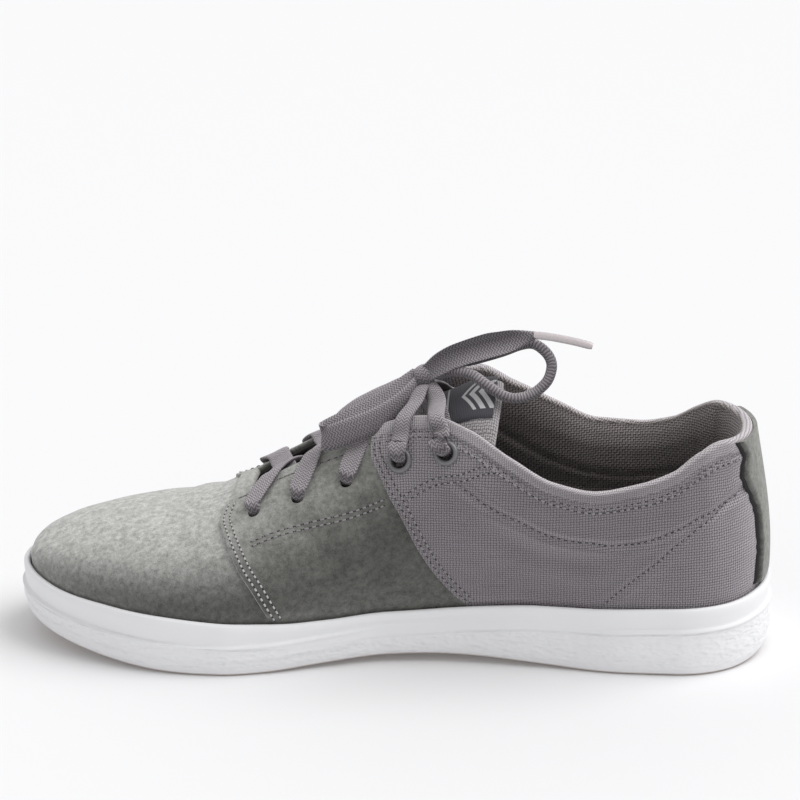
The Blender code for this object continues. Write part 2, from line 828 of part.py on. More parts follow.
def make_label(mat, group):
    along = np.linspace(*label_along, 5)
    across = np.linspace(*label_across, 9)
    low = np.array([tongue_point(u, across, -label_gap) for u in along])
    high = np.array([tongue_point(u, across, -label_gap - label_thick) for u in along])
    return shell("tongue_label", high, low, mat, group)


def make_eyelets(mat, group):
    for i, (along, up, ringed) in enumerate(holes):
        if not ringed:
            continue
        for side, word in ((-1, "medial"), (1, "lateral")):
            p, n = hole_frame(along, up, side)
            profile = [
                (eyelet_barrel, -wall),
                (eyelet_barrel, eyelet_seat),
                (eyelet_flange, eyelet_seat),
                (eyelet_flange - eyelet_roll, eyelet_height),
                (eyelet_bore + eyelet_roll, eyelet_height + eyelet_roll),
                (eyelet_bore, eyelet_height - eyelet_roll / 2),
                (eyelet_bore, -wall),
            ]
            steps = 12
            turns = np.linspace(0, 2 * np.pi, steps, endpoint=False)
            rows = [np.stack([r * np.cos(turns), r * np.sin(turns), 0 * turns + z], -1) for r, z in profile]
            verts, faces = loft(rows, closed_ends=True)
            name = f"eyelet_{i + 1}_{word}"
            o = place(name, mesh_of(name, verts, faces), mat, group, 35)
            o.rotation_mode = 'QUATERNION'
            o.rotation_quaternion = Vector((0, 0, 1)).rotation_difference(Vector(n))
            o.location = Vector(p)


def over_height(along, y):
    # height of the shoe's outside at one place, bridging the throat from edge to edge
    side = -1 if y < 0 else 1
    up = np.linspace(0.5, 1.0, 24)
    phi = np.full(up.shape, float(phi_of(along, side)))
    p = skin(phi, up) + skin_normal(phi, up) * panel_step(np.full(up.shape, along), up)[..., None]
    outer = np.interp(abs(y), np.abs(p[::-1, 1]), p[::-1, 2])
    half = smooth(along, tongue_rows, 1) * ball_width
    crest = smooth(along, tongue_rows, 2) * instep_height
    drop = smooth(along, tongue_rows, 3) * instep_height
    inside = abs(y) < abs(p[-1, 1])
    padded = crest - drop * (y / half) ** 2
    return max(outer, padded) if inside else outer


def taut(run, heights):
    # a stretched lace spans the hollows: the upper hull of what lies under it, and where it bends
    kept = []
    for i, (x, z) in enumerate(zip(run, heights)):
        while len(kept) > 1:
            a, b = kept[-2:]
            if (heights[b] - heights[a]) * (x - run[a]) > (z - heights[a]) * (run[b] - run[a]):
                break
            kept.pop()
        kept.append(i)
    while len(kept) > 2:
        a, b, c = kept[:-2], kept[1:-1], kept[2:]
        rise = heights[b] - (heights[a] + (heights[c] - heights[a]) * (run[b] - run[a]) / (run[c] - run[a]))
        if rise.min() > least_bend:
            break
        kept.pop(int(np.argmin(rise)) + 1)
    return np.interp(run, run[kept], heights[kept]), kept


def strand(start, end, raised):
    # one flat stretch of lace drawn over the outside, from (along, y) to (along, y)
    a = np.array([(0.5 - start[0]) * length, start[1]])
    b = np.array([(0.5 - end[0]) * length, end[1]])
    way = unit(b - a)
    sideways = np.array([-way[1], way[0]]) * lace_width / 2
    run = np.linspace(0, 1, strand_steps + 1)
    columns, bends = [], set()
    for shift in (-1, 0, 1):
        places = a + (b - a) * run[:, None] + sideways * shift
        under = np.array([over_height(0.5 - x / length, y) for x, y in places])
        z, kept = taut(run, under)
        columns.append(np.column_stack([places, z + lace_lift + raised]))
        bends.update(kept)
    left, middle, right = [column[sorted(bends)] for column in columns]
    n = unit(np.cross(np.gradient(middle, axis=0), right - left))
    n = n * np.sign(n[:, 2:])
    upper = [column + n * lace_thick for column in (right, middle, left)]
    rings = np.stack([left, middle, right] + upper, axis=1)
    verts, faces = loft(rings)
    n = rings.shape[1]
    for first in (0, n * (len(rings) - 1)):
        for j in range(2):
            faces.append((first + j, first + j + 1, first + n - j - 2, first + n - j - 1))
    return verts, faces


def make_crossings(mat, group, cutters):
    # both halves of the lace zigzag from side to side, and rise from the top pair to the knot
    spots = []
    for along, up, ringed in holes:
        p, n = hole_frame(along, up, 1)
        reach = abs(p[1]) - (eyelet_flange + clear if ringed else 0.0)
        spots.append((along, reach))
    runs = []
    for (a, ya), (b, yb) in zip(spots[:-1], spots[1:]):
        for side in (-1, 1):
            runs.append(((a, side * (ya - lace_stagger)), (b, -side * yb)))
    top_along, top_y = spots[-1]
    knot_along = 0.5 - knot_middle[0] / length
    for side in (-1, 1):
        runs.append(((top_along, side * (top_y - lace_stagger)), (knot_along, side * knot_meet)))
    pieces = []
    for i, (start, end) in enumerate(runs):
        rise = knot_rise if start[0] == top_along else 0.0
        pieces.append(strand(start, end, lace_layer * (i % 2) + rise))
    strands = collection("strands", cutters)
    for i, (verts, faces) in enumerate(pieces[1:]):
        mesh = mesh_of(f"strand_{i}", verts, faces, flat_faces=True)
        hide(bpy.data.objects.new(mesh.name, mesh), strands)
    base = place("lace_crossings", mesh_of("lace_crossings", *pieces[0], flat_faces=True), mat, group)
    m = base.modifiers.new("strands", 'BOOLEAN')
    m.operand_type = 'COLLECTION'
    m.operation = 'UNION'
    m.collection = strands


def route(points, spacing):
    # smooth curve through the points, read off at equal steps
    p = np.array(points, float)
    ends = np.vstack([2 * p[0] - p[1], p, 2 * p[-1] - p[-2]])
    fine = []
    for i in range(1, len(ends) - 2):
        a, b, c, d = ends[i - 1:i + 3]
        for t in np.linspace(0, 1, 12, endpoint=False):
            fine.append(0.5 * (2 * b + (c - a) * t + (2 * a - 5 * b + 4 * c - d) * t**2
                               + (3 * b - a - 3 * c + d) * t**3))
    fine.append(p[-1])
    fine = np.array(fine)
    run = np.concatenate([[0], np.cumsum(np.linalg.norm(np.diff(fine, axis=0), axis=1))])
    count = max(3, int(round(run[-1] / spacing)) + 1)
    at = np.linspace(0, run[-1], count)
    return np.stack([np.interp(at, run, fine[:, k]) for k in range(3)], -1)


def tube(name, points, radius, mat, group):
    curve = bpy.data.curves.new(name, 'CURVE')
    curve.dimensions = '3D'
    curve.bevel_depth = radius
    curve.bevel_resolution = 2
    curve.use_fill_caps = True
    curve.render_resolution_u = 0
    spline = curve.splines.new('POLY')
    spline.points.add(len(points) - 1)
    for point, p in zip(spline.points, points):
        point.co = (*p, 1.0)
    curve.materials.append(mat)
    o = bpy.data.objects.new(name, curve)
    group.objects.link(o)
    return o


def make_bow(lace, plastic, group):
    bm = bmesh.new()
    bmesh.ops.create_uvsphere(bm, u_segments=12, v_segments=8, radius=1.0)
    bmesh.ops.scale(bm, verts=bm.verts, vec=knot_size)
    mesh = bpy.data.meshes.new("lace_knot")
    bm.to_mesh(mesh)
    bm.free()
    knot = place("lace_knot", mesh, lace, group)
    knot.location = knot_middle
    spacing = cord_spacing * cord_radius
    tube("lace_loop_left", route(loop_left, spacing), cord_radius, lace, group)
    tube("lace_loop_right", route(loop_right, spacing), cord_radius, lace, group)
    for word, points in (("right", end_right), ("left", end_left)):
        tube(f"lace_end_{word}", route(points, spacing), cord_radius, lace, group)
        a, b = np.array(points[-2]), np.array(points[-1])
        way = unit(b - a)
        start = b + way * clear
        tube(f"aglet_{word}", [start, start + way * aglet_length], aglet_radius, plastic, group)


def main():
    for o in list(bpy.data.objects):
        bpy.data.objects.remove(o, do_unlink=True)
    shoe = collection("skate_shoe")
    cutters = collection("cutters")
    rubber = material("white_rubber", (0.72, 0.72, 0.73), 0.55)
    suede_grey = material("grey_suede", (0.12, 0.12, 0.115), 0.95)
    foam = material("footbed_cloth", (0.08, 0.075, 0.075), 0.9)
    cloth = material("grey_canvas", (0.17, 0.16, 0.17), 0.9)
    woven = material("label_cloth", (0.06, 0.06, 0.07), 0.7)
    metal = material("eyelet_metal", (0.35, 0.36, 0.37), 0.4, 1.0)
    lace = material("lace_cotton", (0.15, 0.14, 0.145), 0.9)
    plastic = material("aglet_plastic", (0.45, 0.40, 0.42), 0.3)
    make_sole(rubber, shoe, cutters)
    make_upper(suede_grey, shoe, cutters)
    make_insole(foam, shoe)
    make_tongue(cloth, shoe)
    make_heel_tab(suede_grey, shoe)
    make_label(woven, shoe)
    make_eyelets(metal, shoe)
    make_crossings(lace, shoe, cutters)
    make_bow(lace, plastic, shoe)


main()
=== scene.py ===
import bpy
import bmesh
import math
import random
import numpy as np
from mathutils import Vector, Matrix


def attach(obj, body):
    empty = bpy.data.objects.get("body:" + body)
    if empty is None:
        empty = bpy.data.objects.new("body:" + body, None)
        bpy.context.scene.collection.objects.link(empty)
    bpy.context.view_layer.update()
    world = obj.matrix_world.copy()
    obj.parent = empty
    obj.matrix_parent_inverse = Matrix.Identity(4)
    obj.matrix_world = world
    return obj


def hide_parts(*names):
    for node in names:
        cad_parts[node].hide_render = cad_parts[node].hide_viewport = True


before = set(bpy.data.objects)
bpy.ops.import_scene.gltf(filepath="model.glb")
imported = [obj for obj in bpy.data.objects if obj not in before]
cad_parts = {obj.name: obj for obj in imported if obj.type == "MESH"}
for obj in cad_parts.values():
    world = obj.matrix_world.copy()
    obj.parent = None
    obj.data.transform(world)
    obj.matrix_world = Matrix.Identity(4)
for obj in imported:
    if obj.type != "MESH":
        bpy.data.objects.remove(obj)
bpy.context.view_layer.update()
scene = bpy.context.scene
scene.view_settings.view_transform = 'Standard'
random.seed(7)


# Camera
# Medial side of the right shoe, from a little towards the heel and above, with a long lens.

azimuth = math.radians(4.2)
pitch = math.radians(18.5)
distance = 1.3
lens = 145.34             # in millimetres
aim = Vector((0.0, 0.0, 0.03))
aim_shift = Vector((-0.0020125, -0.064924))   # how far the aim lies off the picture's middle, in metres
back = Vector((math.sin(azimuth) * math.cos(pitch), -math.cos(azimuth) * math.cos(pitch), math.sin(pitch)))
right = Vector((math.cos(azimuth), math.sin(azimuth), 0.0))
above = back.cross(right)
camera_data = bpy.data.cameras.new("camera")
camera_data.sensor_width = 36.0
camera_data.lens = lens
camera = bpy.data.objects.new("camera", camera_data)
scene.collection.objects.link(camera)
place = Matrix.Translation(aim - aim_shift.x * right - aim_shift.y * above + distance * back)
camera.matrix_world = place @ Matrix((right, above, back)).transposed().to_4x4()
scene.camera = camera


# Floor and light
# A white sweep, lit all round by a white room and from high behind by a broad soft source.

bpy.ops.mesh.primitive_plane_add(size=16.0, location=(0, 3.0, -0.0002))
floor = bpy.context.object
floor.name = "floor"
white = bpy.data.materials.new("white_sweep")
white.use_nodes = True
sweep = white.node_tree.nodes["Principled BSDF"]
sweep.inputs["Base Color"].default_value = (0.82, 0.82, 0.83, 1)
sweep.inputs["Roughness"].default_value = 0.55
sweep.inputs["Specular IOR Level"].default_value = 0.25
sweep.inputs["Emission Color"].default_value = (1, 1, 1, 1)
sweep.inputs["Emission Strength"].default_value = 0.06
floor.data.materials.append(white)
world = bpy.data.worlds.new("white_room")
world.use_nodes = True
world.node_tree.nodes["Background"].inputs["Color"].default_value = (1.0, 1.0, 1.0, 1)
world.node_tree.nodes["Background"].inputs["Strength"].default_value = 0.64
scene.world = world
sun_data = bpy.data.lights.new("overhead_bank", 'SUN')
sun_data.energy = 1.9
sun_data.angle = math.radians(50)
sun = bpy.data.objects.new("overhead_bank", sun_data)
scene.collection.objects.link(sun)
sun.rotation_euler = (math.radians(-4), math.radians(36), 0)


# Node helpers
# They add a shader node, set or join its sockets, and build the effects that several materials share.

def join(tree, value, socket):
    # links a node's first output or a given output, or sets a constant
    if isinstance(value, bpy.types.Node):
        value = value.outputs[0]
    if isinstance(value, bpy.types.NodeSocket):
        tree.links.new(value, socket)
    elif socket.type == 'RGBA':
        socket.default_value = (*value[:3], 1)
    else:
        socket.default_value = value


def add(tree, kind, ins=None, **settings):
    node = tree.nodes.new("ShaderNode" + kind)
    for key, value in settings.items():
        setattr(node, key, value)
    for key, value in (ins or {}).items():
        join(tree, value, node.inputs[key])
    return node


def maths(tree, operation, a, b=0.0, **settings):
    return add(tree, "Math", {0: a, 1: b}, operation=operation, **settings)


def remap(tree, value, low, high, to_low=0.0, to_high=1.0, **settings):
    return add(tree, "MapRange", {0: value, 1: low, 2: high, 3: to_low, 4: to_high}, **settings)


def noise(tree, place, scale, detail=2.0):
    return add(tree, "TexNoise", {"Vector": place, "Scale": scale, "Detail": detail})


def scaled(tree, value, factor):
    return add(tree, "VectorMath", {0: value, "Scale": factor}, operation='SCALE')


def own_place(tree):
    return add(tree, "TexCoord").outputs["Object"]


def finish_of(name, colour, roughness, specular=0.5):
    # a new material with its node tree and its shader
    m = bpy.data.materials.new(name)
    m.use_nodes = True
    shader = m.node_tree.nodes["Principled BSDF"]
    shader.inputs["Base Color"].default_value = (*colour, 1)
    shader.inputs["Roughness"].default_value = roughness
    shader.inputs["Specular IOR Level"].default_value = specular
    return m, m.node_tree, shader


def blend(tree, share, dark, light):
    return add(tree, "Mix", {0: share, 6: dark, 7: light}, data_type='RGBA').outputs[2]


def paint(tree, shader, body):
    join(tree, body, shader.inputs["Base Color"])


def bump(tree, shader, height, depth):
    raised = add(tree, "Bump", {"Height": height, "Strength": 1.0, "Distance": depth})
    join(tree, raised, shader.inputs["Normal"])


def group(name, inputs, outputs):
    g = bpy.data.node_groups.new(name, 'ShaderNodeTree')
    for word, kind in inputs:
        g.interface.new_socket(word, in_out='INPUT', socket_type=kind)
    for word, kind in outputs:
        g.interface.new_socket(word, in_out='OUTPUT', socket_type=kind)
    return g, g.nodes.new("NodeGroupInput"), g.nodes.new("NodeGroupOutput")


def paint_sheen_and_top_light(tree, body, pale, across, painted_top_light):
    # paints light into the colour: brushed fibres get a painted sheen, paler where they are seen across, and
    # painted light from above, paler where they face up
    facing = add(tree, "LayerWeight", {0: 0.5})
    sideways = maths(tree, 'MULTIPLY', facing.outputs["Facing"], across)
    normal = add(tree, "SeparateXYZ", {0: add(tree, "NewGeometry").outputs["Normal"]})
    lit = remap(tree, normal.outputs[2], 0.0, 0.8, 0.0, painted_top_light)
    share = maths(tree, 'ADD', sideways, lit, use_clamp=True)
    return blend(tree, share, body, pale)


# Plain weave: threads that pass over and under each other, on the piece's cloth coordinates in metres
weave, weave_in, weave_out = group(
    "weave", (("Cloth", 'NodeSocketVector'), ("Threads", 'NodeSocketFloat'), ("Slub", 'NodeSocketFloat')),
    (("Height", 'NodeSocketFloat'), ("Streak", 'NodeSocketFloat')))
wobble = noise(weave, weave_in, 120.0)
shift = add(weave, "VectorMath", {0: wobble.outputs["Color"], 1: (0.5, 0.5, 0.5)}, operation='SUBTRACT')
shift = scaled(weave, shift, 0.0009)
bent = add(weave, "VectorMath", {0: weave_in, 1: shift}, operation='ADD')
turns = scaled(weave, bent, weave_in.outputs[1])
split = add(weave, "SeparateXYZ", {0: turns})
waves = []
for axis in (0, 1):
    angle = maths(weave, 'MULTIPLY', split.outputs[axis], math.pi)
    waves.append(maths(weave, 'SINE', angle))
over = maths(weave, 'MULTIPLY', waves[0], waves[1])
over = maths(weave, 'GREATER_THAN', over, 0.0)
humps = [maths(weave, 'ABSOLUTE', w) for w in waves]
warp = maths(weave, 'MULTIPLY', humps[0], over)
rest = maths(weave, 'SUBTRACT', 1.0, over)
weft = maths(weave, 'MULTIPLY', humps[1], rest)
both = maths(weave, 'ADD', warp, weft)
stretch = add(weave, "VectorMath", {0: weave_in, 1: (60.0, 700.0, 1.0)}, operation='MULTIPLY')
slub = noise(weave, stretch, 1.0, 3.0)
streak = maths(weave, 'MULTIPLY', slub, weave_in.outputs[2])
streak = remap(weave, streak, 0.25, 0.75, 0.82, 1.12)
join(weave, both, weave_out.inputs[0])
join(weave, streak, weave_out.inputs[1])


def woven(name, colour, roughness, threads, depth, dark, light, haze, slub=1.0):
    # cloth material: threads a metre, relief in metres, colours of hollow and thread with the hollows' dark
    # colour as painted shade, a painted sheen where seen across and painted light where it faces up
    m, tree, shader = finish_of(name, colour, roughness, 0.15)
    cloth = add(tree, "UVMap", uv_map="cloth")
    fabric = tree.nodes.new("ShaderNodeGroup")
    fabric.node_tree = weave
    join(tree, cloth, fabric.inputs[0])
    fabric.inputs[1].default_value = threads
    fabric.inputs[2].default_value = slub
    own = own_place(tree)
    blotch = noise(tree, own, 70.0, 4.0)
    level = maths(tree, 'MULTIPLY', fabric, fabric.outputs[1])
    tone = remap(tree, blotch, 0.3, 0.7, 0.0, 0.16)
    body = blend(tree, tone, light, tuple(0.6 * c for c in light))
    # painted sheen where the cloth is seen across and painted light where it faces up
    body = paint_sheen_and_top_light(tree, body, haze, 0.75, 0.45)
    # painted shade: the weave's hollows are darkened towards the hollow colour and the thread tops lightened
    thread = remap(tree, level, 0.05, 0.85, dark[0] / light[0], 1.3)
    body = scaled(tree, body, thread)
    paint(tree, shader, body)
    bump(tree, shader, fabric, depth)
    return m


# Mesh helpers
# Closed or open lofts through rows of points, with cloth coordinates in metres.

def show(name, mesh):
    o = bpy.data.objects.new(name, mesh)
    scene.collection.objects.link(o)
    return o


def surface(name, grid, cloth, mats, closed=False, slots=None):
    # grid is rows by columns of points; closed joins the last column to the first
    grid = np.asarray(grid, float)
    rows, cols = grid.shape[:2]
    verts = grid.reshape(-1, 3)
    i, j = np.meshgrid(np.arange(rows - 1), np.arange(cols if closed else cols - 1), indexing='ij')
    k = (j + 1) % cols
    quads = np.stack([i * cols + j, i * cols + k, (i + 1) * cols + k, (i + 1) * cols + j], -1).reshape(-1, 4)
    mesh = bpy.data.meshes.new(name)
    mesh.from_pydata(verts.tolist(), [], quads.tolist())
    flat = np.asarray(cloth, float)
    if closed:
        flat = np.concatenate([flat, flat[:, :1] + (flat[:, 1:2] - flat[:, :1]) * cols], axis=1)
    wide = flat.shape[1]
    first = i * wide + j
    corners = np.stack([first, first + 1, first + wide + 1, first + wide], -1).reshape(-1)
    layer = mesh.uv_layers.new(name="cloth")
    layer.data.foreach_set("uv", flat.reshape(-1, 2)[corners].astype(np.float32).ravel())
    for m in mats if isinstance(mats, (list, tuple)) else [mats]:
        mesh.materials.append(m)
    if slots is not None:
        mesh.polygons.foreach_set("material_index", np.asarray(slots, np.int32).ravel())
    mesh.shade_smooth()
    return show(name, mesh)


def seal(o, weld=2e-6, sharp=None):
    # welds the seams, closes the open ends and turns every face outwards
    bm = bmesh.new()
    bm.from_mesh(o.data)
    bmesh.ops.remove_doubles(bm, verts=bm.verts, dist=weld)
    bmesh.ops.dissolve_degenerate(bm, edges=bm.edges, dist=weld)
    bmesh.ops.holes_fill(bm, edges=[e for e in bm.edges if e.is_boundary], sides=0)
    bmesh.ops.recalc_face_normals(bm, faces=bm.faces)
    bm.to_mesh(o.data)
    bm.free()
    if sharp:
        o.data.set_sharp_from_angle(angle=math.radians(sharp))


def carve(o, bm):
    # cuts the shapes in bm out of an object
    mesh = bpy.data.meshes.new("cutters")
    bm.to_mesh(mesh)
    bm.free()
    cutter = show("cutters", mesh)
    cut = o.modifiers.new("cut", 'BOOLEAN')
    cut.object = cutter
    cut.operation = 'DIFFERENCE'
    bpy.ops.object.select_all(action='DESELECT')
    bpy.context.view_layer.objects.active = o
    o.select_set(True)
    bpy.ops.object.modifier_apply(modifier="cut")
    bpy.data.objects.remove(cutter)


def unit(v):
    return v / np.maximum(np.linalg.norm(v, axis=-1), 1e-12)[..., None]


def spline(points, spacing):
    # smooth curve through the points, read off at equal steps
    p = np.array(points, float)
    ends = np.vstack([2 * p[0] - p[1], p, 2 * p[-1] - p[-2]])
    t = np.linspace(0, 1, 16, endpoint=False)[:, None]
    fine = []
    for a, b, c, d in zip(ends[:-3], ends[1:-2], ends[2:-1], ends[3:]):
        bend, twist = 2 * a - 5 * b + 4 * c - d, 3 * b - a - 3 * c + d
        fine.append(0.5 * (2 * b + (c - a) * t + bend * t**2 + twist * t**3))
    fine = np.vstack(fine + [p[-1:]])
    run = np.concatenate([[0], np.cumsum(np.linalg.norm(np.diff(fine[:, :3], axis=0), axis=1))])
    at = np.linspace(0, run[-1], max(4, int(round(run[-1] / spacing)) + 1))
    return np.stack([np.interp(at, run, fine[:, k]) for k in range(p.shape[1])], -1), at


# The last
# The form that sole and upper share, in the same sizes as the solids: plan outline, heights and side curve.

length = 0.300
ball_width = 0.1053
instep_height = 0.104
toe_spring, toe_spring_start = 0.0095, 0.74
heel_bevel, heel_bevel_end = 0.002, 0.06
arch_lift, arch_outer_share, arch_middle, arch_reach = 0.0032, 0.35, 0.45, 0.24
lip_width = 0.0024
clear = 0.0003
outline = (
    (0.00, 0.367, 0.341), (0.10, 0.372, 0.351), (0.18, 0.372, 0.362), (0.30, 0.331, 0.372),
    (0.42, 0.303, 0.387), (0.50, 0.320, 0.418), (0.58, 0.388, 0.454), (0.66, 0.468, 0.485),
    (0.72, 0.500, 0.500), (0.79, 0.492, 0.498), (0.90, 0.456, 0.469), (1.00, 0.430, 0.4385),
)
heel_end = (0.125, 2.0)
toe_end = {-1: (0.25, 2.1), 1: (0.30, 2.2)}
side_wall = (
    (0.00, 0.0288), (0.10, 0.0283), (0.20, 0.0272), (0.30, 0.0250), (0.45, 0.0216),
    (0.60, 0.0212), (0.70, 0.0214), (0.85, 0.0212), (1.00, 0.0205),
)
# how far the inner side's lip lies from that wall's top in the photograph
lip_shift = (
    (0.00, 0.0), (0.30, 0.0), (0.36, -0.0008), (0.42, -0.0018), (0.48, -0.0028), (0.55, -0.0029),
    (0.61, -0.0021),
    (0.665, -0.0004), (0.715, 0.0006), (0.80, 0.0020), (0.865, 0.0016), (0.95, 0.0), (1.00, 0.0),
)
bed_heel, bed_ball = 0.0110, 0.0075     # thickness of the sole under the insole
bed_fall = (0.25, 0.62)


def smooth(x, table, column):
    # smooth curve through a table's rows that never overshoots them
    xs = np.array([row[0] for row in table], float)
    ys = np.array([row[column] for row in table], float)
    if xs[0] > xs[-1]:
        xs, ys = xs[::-1], ys[::-1]
    x = np.asarray(x, float)
    step = np.diff(xs)
    rise = np.diff(ys) / step
    slope = np.zeros_like(ys)
    slope[0], slope[-1] = rise[0], rise[-1]
    for i in range(1, len(xs) - 1):
        if rise[i - 1] * rise[i] > 0:
            a = 2 * step[i] + step[i - 1]
            b = step[i] + 2 * step[i - 1]
            slope[i] = (a + b) / (a / rise[i - 1] + b / rise[i])
    k = np.clip(np.searchsorted(xs, x) - 1, 0, len(xs) - 2)
    s = np.clip((x - xs[k]) / step[k], 0, 1)
    return ((2 * s**3 - 3 * s**2 + 1) * ys[k] + (s**3 - 2 * s**2 + s) * step[k] * slope[k]
            + (3 * s**2 - 2 * s**3) * ys[k + 1] + (s**3 - s**2) * step[k] * slope[k + 1])


def ramp(x, start, end):
    s = np.clip((np.asarray(x, float) - start) / (end - start), 0, 1)
    return s * s * (3 - 2 * s)


def rounded(gap, reach, power):
    c = np.clip(1 - np.asarray(gap, float) / reach, 0, 1)
    return (1 - c**power) ** (1 / power)


def along_of(phi):
    return (1 - np.cos(phi)) / 2


def phi_of(along, side):
    return side * np.arccos(np.clip(1 - 2 * np.asarray(along, float), -1, 1))


def side_of(phi):
    return np.where(np.sin(phi) < 0, -1, 1)


def edge(phi):
    phi = np.asarray(phi, float)
    along = along_of(phi)
    side = side_of(phi)
    medial = smooth(along, outline, 1) * rounded(1 - along, *toe_end[-1])
    lateral = smooth(along, outline, 2) * rounded(1 - along, *toe_end[1])
    half = np.where(side < 0, medial, lateral) * rounded(along, *heel_end) * ball_width
    return np.stack([(0.5 - along) * length, side * half], -1)


def outward(phi):
    nudge = 0.002
    d = edge(phi + nudge) - edge(phi - nudge)
    return unit(np.stack([d[..., 1], -d[..., 0]], -1))


def tread_z(phi):
    along = along_of(phi)
    toe = toe_spring * np.clip((along - toe_spring_start) / (1 - toe_spring_start), 0, 1) ** 2
    heel = heel_bevel * np.clip((heel_bevel_end - along) / heel_bevel_end, 0, 1) ** 2
    arch = np.clip(1 - ((along - arch_middle) / arch_reach) ** 2, 0, 1) ** 2
    share = arch_outer_share + (1 - arch_outer_share) * (0.5 - 0.5 * np.clip(np.sin(phi) * 3, -1, 1))
    return toe + heel + arch_lift * arch * share


def wall_height(phi):
    along = along_of(phi)
    return smooth(along, side_wall, 1) + np.where(side_of(phi) < 0, smooth(along, lip_shift, 1), 0.0)


def ring(phi, inset, z):
    p = edge(phi) - outward(phi) * np.asarray(inset)[..., None]
    return np.concatenate([p, np.broadcast_to(z, phi.shape)[..., None]], -1)


def bed_z(phi):
    middle = 0.5 * (tread_z(phi) + tread_z(-phi))
    return middle + bed_heel + (bed_ball - bed_heel) * ramp(along_of(phi), *bed_fall)


def even_angles(count):
    # angles round the foot that step evenly along the sole's edge
    phi = np.linspace(0, 2 * np.pi, 4001)
    run = np.concatenate([[0], np.cumsum(np.linalg.norm(np.diff(edge(phi), axis=0), axis=1))])
    at = np.linspace(0, run[-1], count, endpoint=False)
    return np.interp(at, run, phi), at


# Cupsole
# One moulding of white rubber: a wrinkled side wall below a smooth band, a raised line between them that
# fades out at the waist, a rounded lip that the upper sits in, and a tread with a thin brown band along its
# bottom edge.

sole_rgb = (0.86, 0.86, 0.875)
bottom_band_rgb = (0.46, 0.38, 0.33)
ridge_drop = 0.0092      # from the lip down to the raised line
ridge_out = 0.0007
foot_round = 0.0060      # rounding where the wall meets the ground
under_inset = 0.0022     # how far the ground line lies inside the wall
lip_round = 0.0030
lip_out = 0.0005
lip_crest = 0.55 * lip_round
bead_out = 0.00045
groove_wide, groove_deep, groove_margin, groove_pitch = 0.0022, 0.0014, 0.012, 0.035
groove_rows = ((0.09, 5), (0.60, 9))   # where the rows under the heel and the ball begin, and their grooves
cutter_high = 0.0056
bottom_band_rise = 0.00095                    # the brown band reaches this high over the ground
phi, sole_run = even_angles(420)
along = along_of(phi)
tread = tread_z(phi)
lip = tread + wall_height(phi)
ridge = tread + smooth(along, side_wall, 1) - ridge_drop
waist = np.where(side_of(phi) < 0, ramp(along, 0.18, 0.27) * (1 - ramp(along, 0.50, 0.60)),
                 ramp(along, 0.22, 0.32) * (1 - ramp(along, 0.48, 0.58)))
bead = (1 - waist) * bead_out
low = ridge_out * (1 - waist)
zero = np.zeros(len(phi))
rows = [
    (under_inset + 0.012 + zero, tread), (under_inset + 0.0008 + zero, tread),
    (under_inset + zero, tread + 0.0003),
]
for a in np.linspace(0.1, 1.0, 7):
    rows.append((under_inset * (1 - math.sin(a * math.pi / 2)),
        tread + foot_round * (1 - math.cos(a * math.pi / 2))))
for a in np.linspace(0.15, 1.0, 7):
    rows.append((-low, tread + foot_round + (ridge - 0.0009 - tread - foot_round) * a))
rows += [
    (-low - 0.5 * bead, ridge - 0.0006), (-low - bead, ridge - 0.0002), (-low - bead, ridge + 0.0001),
    (-0.4 * bead + 0.0001 * (1 - waist), ridge + 0.0006), (0.0002 * (1 - waist), ridge + 0.0011),
]
for a in np.linspace(0.2, 1.0, 5):
    rows.append((0.0002 * (1 - a) - 0.0003 * a + zero,
        ridge + 0.0011 + (lip - lip_round - ridge - 0.0011) * a))
for a in np.linspace(0.15, 1.0, 8):
    turn = a * math.pi
    half = (lip_width + lip_out) / 2
    rows.append((half * (1 - math.cos(turn)) - lip_out + zero, lip - lip_crest * (1 - math.sin(turn))))
rows.append((lip_width + zero, bed_z(phi)))
grid = np.array([ring(phi, inset, z) for inset, z in rows])
cloth = np.stack([np.broadcast_to(sole_run, grid.shape[:2]), lip - grid[..., 2]], -1)

white_rubber, tree, shader = finish_of("white_rubber", sole_rgb, 0.5, 0.35)
own = own_place(tree)
place = add(tree, "UVMap", uv_map="cloth")
spot = add(tree, "SeparateXYZ", {0: place})
under_band = remap(tree, spot.outputs[1], 0.0095, 0.0110, interpolation_type='SMOOTHSTEP')
above_foot = remap(tree, add(tree, "SeparateXYZ", {0: own}).outputs[2], 0.0016, 0.0045)
wrinkled = maths(tree, 'MULTIPLY', under_band, above_foot)
fold = add(tree, "VectorMath", {0: own, 1: (170.0, 170.0, 330.0)}, operation='MULTIPLY')
creases = noise(tree, fold, 1.0, 4.0)
creases.inputs["Roughness"].default_value = 0.6
pebble = add(tree, "TexVoronoi", {"Vector": fold, "Scale": 2.2}, feature='SMOOTH_F1')
relief = maths(tree, 'ADD', creases, pebble)
relief = maths(tree, 'MULTIPLY', relief, wrinkled)
bump(tree, shader, relief, 0.0006)
grime = noise(tree, own, 35.0, 5.0)
soft = remap(tree, grime, 0.35, 0.75, 0.0, 0.10)
body = blend(tree, soft, sole_rgb, (0.66, 0.66, 0.69))
bottom_band = add(tree, "Attribute", attribute_name="bottom_band")
body = blend(tree, bottom_band.outputs["Fac"], body, bottom_band_rgb)
paint(tree, shader, body)
shader.inputs["Subsurface Weight"].default_value = 0.06
shader.inputs["Subsurface Radius"].default_value = (0.002, 0.002, 0.002)

